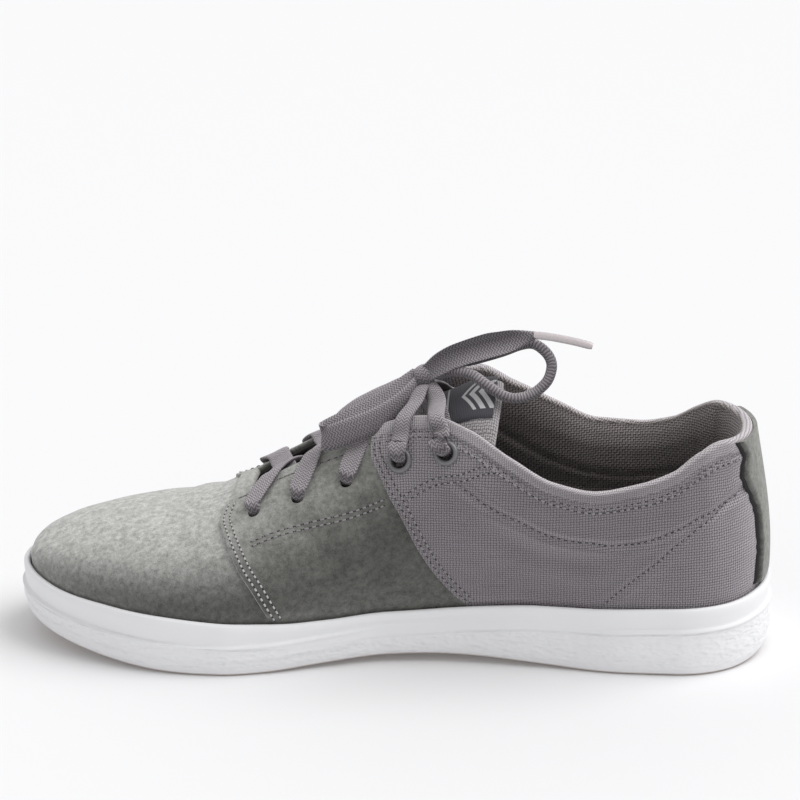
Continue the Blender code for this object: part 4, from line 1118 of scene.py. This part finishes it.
ring_mat, tree, shader = finish_of("eyelet_ring", (0.19, 0.185, 0.195), 0.42)
shader.inputs["Metallic"].default_value = 0.55
own = own_place(tree)
rub = noise(tree, own, 900.0, 4.0)
polish = remap(tree, rub, 0.3, 0.7, 0.34, 0.55)
join(tree, polish, shader.inputs["Roughness"])
bump(tree, shader, rub, 0.00002)
profile = [(eyelet_barrel - 0.0001, -0.0022), (eyelet_barrel - 0.0001, 0.0002), (eyelet_flange, 0.0002)]
for a in np.linspace(0, math.pi, 9):
    middle = (eyelet_flange + eyelet_bore) / 2
    profile.append((middle + (eyelet_flange - eyelet_bore) / 2 * math.cos(a), 0.0003 + 0.0013 * math.sin(a)))
profile += [(eyelet_bore, -0.0022)]
for i, (along_at, up_at, ringed) in enumerate(holes):
    if not ringed:
        continue
    for side, word in ((-1, "medial"), (1, "lateral")):
        p, n = hole_frame(along_at, up_at, side)
        turns = np.linspace(0, 2 * math.pi, 48, endpoint=False)
        r, z = np.array(profile).T
        local = np.stack([r[:, None] * np.cos(turns), r[:, None] * np.sin(turns), z[:, None] + 0 * turns], -1)
        turn = np.array(Vector((0, 0, 1)).rotation_difference(Vector(n)).to_matrix())
        grid = local @ turn.T + p
        flat = np.zeros(grid.shape[:2] + (2,))
        eyelet = surface(f"eyelet_ring_{i + 1}_{word}", grid, flat, ring_mat, closed=True)
        eyelet.data.set_sharp_from_angle(angle=math.radians(50))
        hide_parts(f"eyelet_{i + 1}_{word}")
        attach(eyelet, "root")


# Lacing
# One flat lace of grey cotton, woven in a herringbone. It comes up through every hole from inside, crosses
# over the tongue and goes down under the other side to the next hole, and the top pair rises to the knot.

lace_wide = 0.0084
lace_deep = 0.0019
hole_wide = 0.0052      # gathered where it comes through a hole
hole_deep = 0.0031
lace_mat, tree, shader = finish_of("lace_cotton", (0.2, 0.19, 0.2), 0.9, 0.15)
place = add(tree, "UVMap", uv_map="cloth")
spot = add(tree, "SeparateXYZ", {0: place})
zig = maths(tree, 'PINGPONG', spot.outputs[1], 0.0011)
slant = maths(tree, 'ADD', zig, spot)
wander = noise(tree, place, 900.0)
slant = add(tree, "MixRGB", {0: 0.0006, 1: slant, 2: wander}, blend_type='ADD')
turn = maths(tree, 'MULTIPLY', slant, 2 * math.pi / 0.00125)
rib = maths(tree, 'SINE', turn)
rib = remap(tree, rib, -1.0, 0.6)
# painted sheen where the lace is seen across and painted light on its up-facing parts
body = paint_sheen_and_top_light(tree, (0.135, 0.124, 0.133), (0.50, 0.465, 0.49), 0.5, 0.6)
shade = add(tree, "MapRange", {0: rib, 3: 0.55, 4: 1.15})
body = scaled(tree, body, shade)
paint(tree, shader, body)
bump(tree, shader, rib, 0.0003)


def ribbon(name, stations, step=0.0005):
    # flat lace through stations: place, sideways direction, width, thickness and how far its edges curl back
    line, at = spline(stations, step)
    middle = line[:, :3]
    way = unit(np.gradient(middle, axis=0))
    side = line[:, 3:6]
    side = unit(side - way * (side * way).sum(-1, keepdims=True))
    face = np.cross(side, way)
    turn = np.linspace(0, 2 * math.pi, 25)
    a = np.sign(np.cos(turn)) * np.abs(np.cos(turn)) ** 0.8
    b = np.sign(np.sin(turn)) * np.abs(np.sin(turn)) ** 0.75
    across = line[:, 6:7] / 2 * a
    height = line[:, 7:8] / 2 * b - line[:, 8:9] * a**2
    grid = middle[:, None] + side[:, None] * across[..., None] + face[:, None] * height[..., None]
    cloth = np.stack([np.broadcast_to(at[:, None], across.shape), across], -1)
    o = surface(name, grid, cloth, lace_mat)
    seal(o, weld=1e-6, sharp=70)
    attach(o, "root")
    return o, middle


def tongue_top(x, y):
    along = 0.5 - x / length
    half = smooth(along, tongue_rows, 1) * ball_width
    crest, fall = smooth(along, tongue_rows, 2), smooth(along, tongue_rows, 3)
    return crest * instep_height - fall * instep_height * (y / half)**2


def under_lace(x, y, near):
    # height of what lies under a lace: the panel that it came out of, then the tongue
    up = np.linspace(0.45, 1.0, 40)
    along = 0.5 - x / length
    phi = np.full(up.shape, float(phi_of(along, near)))
    p = skin(phi, up) + skin_normal(phi, up) * stand_off(np.full(up.shape, along), up)[..., None]
    panel = np.interp(abs(y), np.abs(p[::-1, 1]), p[::-1, 2])
    soft = tongue_top(x, y)
    return max(panel, soft) if y * near > abs(p[-1, 1]) else soft


def hull(run, heights):
    # a stretched lace spans the hollows
    kept = []
    for i in range(len(run)):
        while len(kept) > 1:
            a, b = kept[-2:]
            if (heights[b] - heights[a]) * (run[i] - run[a]) > (heights[i] - heights[a]) * (run[b] - run[a]):
                break
            kept.pop()
        kept.append(i)
    return np.interp(run, run[kept], heights[kept])


def out_of_hole(i, side, way):
    # the first stations of a lace that comes up through a hole and turns towards the throat
    along_at, up_at, ringed = holes[i]
    c, n = hole_frame(along_at, up_at, side)
    d = unit(way - n * (way @ n))
    across = np.cross(n, d)
    c = c + d * 0.0007
    rim = 0.0016 if ringed else 0.0
    return [
        (*(c - n * 0.0040), *across, hole_wide, hole_deep, 0.0),
        (*(c - n * 0.0004), *across, hole_wide, hole_deep, 0.0),
        (*(c + n * (0.0014 + rim) + d * 0.0009), *across, hole_wide + 0.0006, hole_deep, 0.0),
        (*(c + n * (0.0019 + rim) + d * 0.0038), *across, 0.0076, 0.0019, 0.0006),
    ], across


def over_eyestay(spots, side):
    # stations that lie on the panel between a hole and the throat
    made = []
    for along_at, up_at in spots:
        c, n = hole_frame(along_at, up_at, side)
        made.append((*(c + n * 0.0021), 1.0, 0.0, 0.3, 0.0066, 0.0026, 0.0004))
    return made


def crossing(name, i, side, over):
    # one stretch from a hole over the tongue to the inside of the next hole on the other side
    (along_a, up_a, _), (along_b, up_b, _) = holes[i], holes[i + 1]
    a, na = hole_frame(along_a, up_a, side)
    b, nb = hole_frame(along_b, up_b, -side)
    b = b - nb * 0.0040
    stations, across = out_of_hole(i, side, unit(b - a))
    plan = unit(np.array([b[0] - a[0], b[1] - a[1], 0.0]))
    flat = np.cross((0.0, 0.0, 1.0), plan)
    flat = flat * np.sign(flat @ across)
    share = np.linspace(0, 1, 31)
    tracks = []
    for shift in (-0.5, 0, 0.5):
        places = a + (b - a) * share[:, None] + flat * shift * lace_wide * 0.8
        z = np.array([under_lace(x, y, side) for x, y, _ in places])
        tracks.append(np.column_stack([places[:, :2], hull(share, z)]))
    for k in range(8, 30, 3):
        left, middle, right = (t[k] for t in tracks)
        y = middle[1]
        lift = 0.0015 + 0.0018 * over * math.exp(-(y / 0.011)**2)
        if y * side < 0:
            lift -= 0.0007 * min(1.0, abs(y) / 0.012)
        lean = unit(right - left)
        stations.append((middle[0], y, middle[2] + lift, *lean, 0.0094, lace_deep, 0.0003))
    last = stations[-1]
    stations.append((*b, *last[3:6], hole_wide, hole_deep, 0.0))
    strand, _ = ribbon(name, stations)
    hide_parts("lace_crossings")


for i in range(3):
    crossing(f"lace_cross_{i + 1}_medial", i, -1, 1.0)
    crossing(f"lace_cross_{i + 1}_lateral", i, 1, 0.0)
crossing("lace_cross_4_lateral", 3, 1, 0.0)
ends = [hole_frame(holes[0][0], holes[0][1], side) for side in (-1, 1)]
(pa, na), (pb, nb) = ends
bar = [(*(pa - na * 0.0036), 1, 0, 0, hole_wide, hole_deep, 0.0)]
for share in (0.2, 0.5, 0.8):
    x, y, _ = pa + (pb - pa) * share
    bar.append((x, y, tongue_top(x, y) + 0.0008, 1, 0, 0.6, lace_wide, lace_deep, 0.0))
bar.append((*(pb - nb * 0.0036), 1, 0, 0, hole_wide, hole_deep, 0.0))
o, _ = ribbon("lace_bar", bar)
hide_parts("lace_crossings")

# The strand from the fourth medial hole stands up in an arch close under the knot
stations, across = out_of_hole(3, -1, unit(np.array([0.10, 0.7, 0.6])))
stations += over_eyestay(((0.483, 0.90), (0.478, 0.985)), -1)
far, far_n = hole_frame(holes[4][0], holes[4][1], 1)
for x, y, z, lean in ((0.0088, -0.0135, 0.1028, 0.2), (0.0103, -0.0070, 0.1058, 0.3),
                      (0.0130, 0.0010, 0.1062, 0.5), (0.0165, 0.0090, 0.1030, 0.5),
                      (0.0195, 0.0160, 0.0985, 0.5)):
    stations.append((x, y, z, *unit(np.array([1.0, -lean, 0.35])), 0.0070, 0.0017, 0.0006))
stations.append((*(far - far_n * 0.0040), 1.0, -0.2, 0.3, hole_wide, hole_deep, 0.0))
o, _ = ribbon("lace_cross_4_medial", stations)
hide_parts("lace_crossings")

# The top pair rises to the knot
for side, word in ((-1, "medial"), (1, "lateral")):
    stations, across = out_of_hole(4, side, unit(np.array([-0.35, -0.75 * side, 0.55])))
    stations += over_eyestay(((0.430, 0.935), (0.436, 0.995)), side)
    for x, y, z, wide in ((0.0172, 0.0150, 0.1030, 0.0080), (0.0152, 0.0085, 0.1055, 0.0070),
                          (0.0130, 0.0040, 0.1068, 0.0058), (0.0115, 0.0005, 0.1080, 0.0050)):
        lateral_rise = 0.0022 * ramp(y, 0.005, 0.02) if side > 0 else 0.0
        lean = unit(np.array([1.0, 0.25 * side, 0.45]))
        stations.append((x, side * y, z + lateral_rise, *lean, wide, 0.0016, 0.0008))
    o, _ = ribbon(f"lace_rise_{word}", stations)
    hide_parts("lace_crossings")


# Bow
# The same lace tied in a bow: a wrap round the middle, two loops, and two free ends in clear plastic tips.

knot_at = np.array([0.0119, -0.0010, 0.1083])
bow_axis = unit(np.array([0.86, 0.10, 0.50]))
toward = unit(np.array([0.10, -1.0, 0.05]))
toward = unit(toward - bow_axis * (toward @ bow_axis))
over_top = np.cross(bow_axis, toward)
over_top = over_top * np.sign(over_top[2])
knot_wide, knot_high, knot_pitch = 0.0041, 0.0043, 0.0014   # the wrap's two radii and how far it climbs a turn
stations = []
for turn in np.linspace(-1.15 * math.pi, 1.05 * math.pi, 15):
    spot_at = knot_at + toward * knot_wide * math.cos(turn) + over_top * knot_high * math.sin(turn)
    spot_at = spot_at + bow_axis * knot_pitch / 2 * turn / math.pi
    stations.append((*spot_at, *bow_axis, 0.0066, 0.0022, 0.0007))
knot, _ = ribbon("bow_knot", stations)
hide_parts("lace_knot")


def bow_piece(name, node, stations):
    o, line = ribbon(name, stations)
    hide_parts(node)


view_up = np.array([-0.02, 0.30, 0.95])
lying = unit(np.array([0.10, 0.88, 0.46]))
stations = []
for x, y, z, wide, curl in (
        (0.0100, -0.0030, 0.1078, 0.0050, 0.0008), (0.0072, -0.0075, 0.1050, 0.0062, 0.0008),
        (0.0036, -0.0115, 0.1016, 0.0076, 0.0006), (-0.0023, -0.0160, 0.0978, 0.0090, 0.0005),
        (-0.0090, -0.0195, 0.0948, 0.0098, 0.0004), (-0.0175, -0.0215, 0.0918, 0.0102, 0.0003),
        (-0.0240, -0.0215, 0.0893, 0.0100, 0.0001)):
    stations.append((x, y, z, *view_up, wide, 0.0015, curl))
for x, y, z, lean in (
        (-0.0266, -0.0198, 0.0890, 0.0), (-0.0262, -0.0177, 0.0897, 0.1), (-0.0235, -0.0163, 0.0912, 0.3)):
    stations.append((x, y, z, *unit(view_up * (1 - lean) + lying * lean), 0.0096, 0.0014, 0.0001))
for x, y, z in ((-0.0165, -0.0135, 0.0950), (-0.0097, -0.0110, 0.0978), (-0.0021, -0.0080, 0.1015),
                (0.0043, -0.0040, 0.1058), (0.0095, -0.0010, 0.1092)):
    wide = 0.0088 - 0.10 * max(0.0, x + 0.002)
    stations.append((x, y, z, *unit(view_up * 0.35 + lying * 0.65), wide, 0.0015, 0.0006))
bow_piece("bow_loop_left", "lace_loop_left", stations)

stations = []
for x, y, z in (
        (0.0150, 0.0020, 0.1098), (0.0200, 0.0045, 0.1124), (0.0294, 0.0050, 0.1140),
        (0.0412, 0.0040, 0.1180),
        (0.0492, 0.0010, 0.1221), (0.0543, -0.0010, 0.1234), (0.0584, -0.0030, 0.1217),
        (0.0612, -0.0045, 0.1186),
        (0.0619, -0.0060, 0.1150), (0.0603, -0.0080, 0.1104), (0.0562, -0.0100, 0.1067),
        (0.0518, -0.0120, 0.1050),
        (0.0470, -0.0135, 0.1048), (0.0427, -0.0135, 0.1062), (0.0366, -0.0120, 0.1097),
        (0.0309, -0.0090, 0.1126),
        (0.0241, -0.0060, 0.1130), (0.0170, -0.0030, 0.1105)):
    stations.append((x, y, z, 0.05, -0.9, 0.4, 0.0048, 0.0042, 0.0))
bow_piece("bow_loop_right", "lace_loop_right", stations)

# Free ends, each gathered into its tip
tip_mat, tree, shader = finish_of("clear_tip", (0.66, 0.60, 0.61), 0.22)
own = own_place(tree)
haze = noise(tree, own, 700.0, 3.0)
cloudy = remap(tree, haze, 0.3, 0.7, 0.16, 0.36)
join(tree, cloudy, shader.inputs["Roughness"])
shader.inputs["Transmission Weight"].default_value = 0.12
shader.inputs["Coat Weight"].default_value = 0.4


def tip(name, node, points):
    line, at = spline(points, 0.0008)
    way = unit(np.gradient(line, axis=0))
    side = unit(np.cross(way, (0.0, 0.0, 1.0)))
    face = np.cross(side, way)
    turn = np.linspace(0, 2 * math.pi, 21)
    radius = 0.00155 * (1 - 0.25 * np.exp(-(at[-1] - at) / 0.0006)) * (1 - 0.1 * np.exp(-at / 0.0010))
    grid = line[:, None] + radius[:, None, None] * (
        side[:, None] * np.cos(turn)[:, None] + face[:, None] * np.sin(turn)[:, None])
    o = surface(name, grid, np.zeros(grid.shape[:2] + (2,)), tip_mat)
    seal(o, weld=1e-6, sharp=50)
    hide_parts(node)
    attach(o, "root")
    return o


tip_right = tip("tip_right", "aglet_right", (
    (0.0548, -0.0050, 0.1282), (0.0610, -0.0054, 0.1277), (0.0700, -0.0062, 0.1264),
    (0.0778, -0.0068, 0.1247)))
stations = []
for x, y, z, wide, deep, curl in (
        (0.0130, -0.0030, 0.1105, 0.0070, 0.0018, 0.0010), (0.0179, -0.0050, 0.1148, 0.0088, 0.0016, 0.0014),
        (0.0225, -0.0055, 0.1180, 0.0092, 0.0015, 0.0018), (0.0278, -0.0055, 0.1204, 0.0094, 0.0015, 0.0022),
        (0.0365, -0.0050, 0.1232, 0.0098, 0.0015, 0.0026), (0.0420, -0.0050, 0.1246, 0.0092, 0.0015, 0.0024),
        (0.0470, -0.0050, 0.1260, 0.0080, 0.0017, 0.0016), (0.0517, -0.0050, 0.1272, 0.0056, 0.0021, 0.0006),
        (0.0548, -0.0050, 0.1280, 0.0034, 0.0024, 0.0), (0.0580, -0.0052, 0.1281, 0.0024, 0.0022, 0.0),
        (0.0640, -0.0056, 0.1273, 0.0022, 0.0022, 0.0), (0.0772, -0.0067, 0.1248, 0.0022, 0.0022, 0.0)):
    stations.append((x, y, z, *view_up, wide, deep, curl))
bow_piece("bow_end_right", "lace_end_right", stations)

tip_left = tip("tip_left", "aglet_left", (
    (-0.0262, 0.0255, 0.0812), (-0.0275, 0.0310, 0.0785), (-0.0290, 0.0380, 0.0742),
    (-0.0300, 0.0450, 0.0688)))
stations = []
for x, y, z, wide, deep in (
        (0.0100, 0.0020, 0.1090, 0.0060, 0.0018), (0.0055, 0.0050, 0.1072, 0.0076, 0.0016),
        (0.0020, 0.0070, 0.1038, 0.0084, 0.0015), (-0.0045, 0.0090, 0.0997, 0.0084, 0.0015),
        (-0.0125, 0.0115, 0.0950, 0.0084, 0.0015), (-0.0190, 0.0150, 0.0906, 0.0080, 0.0015),
        (-0.0232, 0.0195, 0.0862, 0.0064, 0.0018), (-0.0255, 0.0238, 0.0823, 0.0036, 0.0022),
        (-0.0268, 0.0280, 0.0800, 0.0022, 0.0022), (-0.0282, 0.0345, 0.0764, 0.0022, 0.0022),
        (-0.0299, 0.0445, 0.0692, 0.0022, 0.0022)):
    stations.append((x, y, z, 0.55, 0.55, 0.62, wide, deep, 0.0006 if wide > 0.005 else 0.0))
bow_piece("bow_end_left", "lace_end_left", stations)


# Stitching
# Rows of grey thread along the panels' cut edges, the collar and the seams, with dark discs between them as
# painted shade of the needle holes.

thread_deep = 0.00042
pit_radius = 0.00028
pit_lift = 0.00014
stitch_share = (0.14, 0.86)   # where a stitch begins and ends within its pitch
stitch_at, stitch_r, stitch_z = np.array(
    ((-1.0, 0.25, -0.9), (-0.75, 0.75, 0.0), (-0.3, 1.0, 0.5), (0.3, 1.0, 0.5), (0.75, 0.75, 0.0),
    (1.0, 0.25, -0.9))).T
thread_mat, dull_mat, hole_shade_mat = (finish_of(name, colour, rough)[0] for name, colour, rough in (
    ("grey_thread", (0.40, 0.385, 0.39), 0.8), ("sunk_thread", (0.20, 0.19, 0.195), 0.9),
    ("needle_hole_shade", (0.012, 0.010, 0.010), 1.0)))
for mat, scale, dark, light in (
        (thread_mat, 2500.0, (0.34, 0.33, 0.335), (0.66, 0.64, 0.65)),
        (dull_mat, 2500.0, (0.17, 0.158, 0.168), (0.38, 0.36, 0.373)),
        (hole_shade_mat, 3000.0, (0.012, 0.010, 0.011), (0.05, 0.045, 0.048))):
    tree = mat.node_tree
    ply = noise(tree, own_place(tree), scale)
    paint(tree, tree.nodes["Principled BSDF"], blend(tree, ply, dark, light))


def on_side(along, up, side):
    phi = phi_of(along, side)
    n = skin_normal(phi, up)
    return skin(phi, up) + n * (stand_off(along, up) + pressed(along, up) * ramp(up, 0.02, 0.1))[..., None], n


def sew(name, lines, offset, pitch, mat, deep):
    # a row of stitches beside lines of (along, up), moved over by an offset in metres
    turn = np.linspace(0, 2 * math.pi, 6, endpoint=False)[:, None]
    radius = thread_deep * deep
    blocks = []
    for line, side in ((line, side) for line in lines for side in (-1, 1)):
        pts = np.array(line, float) * (length, up_metres)
        pts, run = spline(np.column_stack([pts, 0 * pts[:, 0]]), 0.0005)
        way = unit(np.gradient(pts[:, :2], axis=0))
        pts = pts[:, :2] + np.stack([-way[:, 1], way[:, 0]], -1) * offset
        count = max(2, int(run[-1] / pitch))
        start = np.arange(count) * run[-1] / count
        jitter = np.array([random.uniform(-0.06, 0.06) for _ in start]) * pitch
        spots = []
        for shift in stitch_share:
            along, up = (np.interp(start + shift * pitch + jitter, run, pts[:, k]) for k in (0, 1))
            spots.append(on_side(np.clip(along / length, 0, 1), np.clip(up / up_metres, 0.012, 1), side))
        (a, n), (b, _) = spots
        t = unit(b - a)
        half = np.linalg.norm(b - a, axis=-1)[:, None, None] / 2
        across = np.cross(n, t)[:, None, None]
        middle, t, n = ((a + b) / 2)[:, None], t[:, None], n[:, None]
        centre = middle + t * half * stitch_at[:, None] + n * stitch_z[:, None] * radius
        circle = across * np.cos(turn) + n[:, None] * 0.8 * np.sin(turn)
        body = centre[:, :, None] + radius * stitch_r[:, None, None] * circle
        ends = middle + t * half * np.array([[-1.05], [1.05]]) + n * pit_lift
        # dark discs at both ends of each stitch: painted shade of its needle holes
        pits = ends[:, :, None] + pit_radius * (across * np.cos(turn) + t[:, None] * 1.2 * np.sin(turn))
        blocks.append(np.concatenate([body, pits], 1).reshape(-1, 3))
    verts = np.vstack(blocks)
    rings = [6 * i + j for i in range(5) for j in range(6)]
    shapes = [(k, k - 5 if k % 6 == 5 else k + 1, k + 1 if k % 6 == 5 else k + 7, k + 6) for k in rings]
    shapes += [tuple(range(36, 42)), tuple(range(42, 48))]
    mesh = bpy.data.meshes.new(name)
    faces = [tuple(base + k for k in face) for base in range(0, len(verts), 48) for face in shapes]
    mesh.from_pydata(verts.tolist(), [], faces)
    mesh.materials.append(mat)
    mesh.materials.append(hole_shade_mat)
    mesh.polygons.foreach_set("material_index", np.array(([0] * 30 + [1] * 2) * (len(verts) // 48), np.int32))
    mesh.shade_smooth()
    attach(show(name, mesh), "root")


mid_line = [(a, u) for u, a in mid_edge if u < 0.99]
quarter_line = [(a, u) for u, a in quarter_edge if u < 0.97]
eyestay_line = ((0.676, 0.520), (0.623, 0.566), (0.568, 0.570), (0.510, 0.588))
eyestay_line_back = ((0.480, 0.592), (0.445, 0.665), (0.404, 0.744), (0.375, 0.850), (0.358, 0.905))
throat_line = ((0.700, 0.935), (0.660, 0.940), (0.610, 0.935), (0.560, 0.930), (0.528, 0.930))
for name, lines, offset, pitch, mat, deep in (
        ("stitch_mid_first", [mid_line], 0.0017, 0.0027, thread_mat, 1.0),
        ("stitch_mid_second", [mid_line], 0.0042, 0.0027, thread_mat, 0.9),
        ("stitch_quarter_first", [quarter_line], 0.0016, 0.0026, dull_mat, 0.95),
        ("stitch_quarter_second", [quarter_line], 0.0039, 0.0026, dull_mat, 0.95),
        ("stitch_eyestay_high", [eyestay_line, eyestay_line_back], 0.0012, 0.0026, dull_mat, 0.9),
        ("stitch_eyestay_low", [eyestay_line, eyestay_line_back], -0.0012, 0.0026, dull_mat, 0.9),
        ("stitch_throat", [throat_line], 0.0, 0.0027, dull_mat, 0.9),
        ("stitch_collar_high", [collar_edge_seam], 0.0, 0.0027, dull_mat, 0.95),
        ("stitch_collar_low", [collar_edge_seam], 0.0022, 0.0027, dull_mat, 0.95),
        ("stitch_quilt", [collar_seam], 0.0, 0.0026, dull_mat, 0.8),
        ("stitch_counter", [counter_seam], 0.0, 0.0027, dull_mat, 0.8)):
    sew(name, lines, offset, pitch, mat, deep)
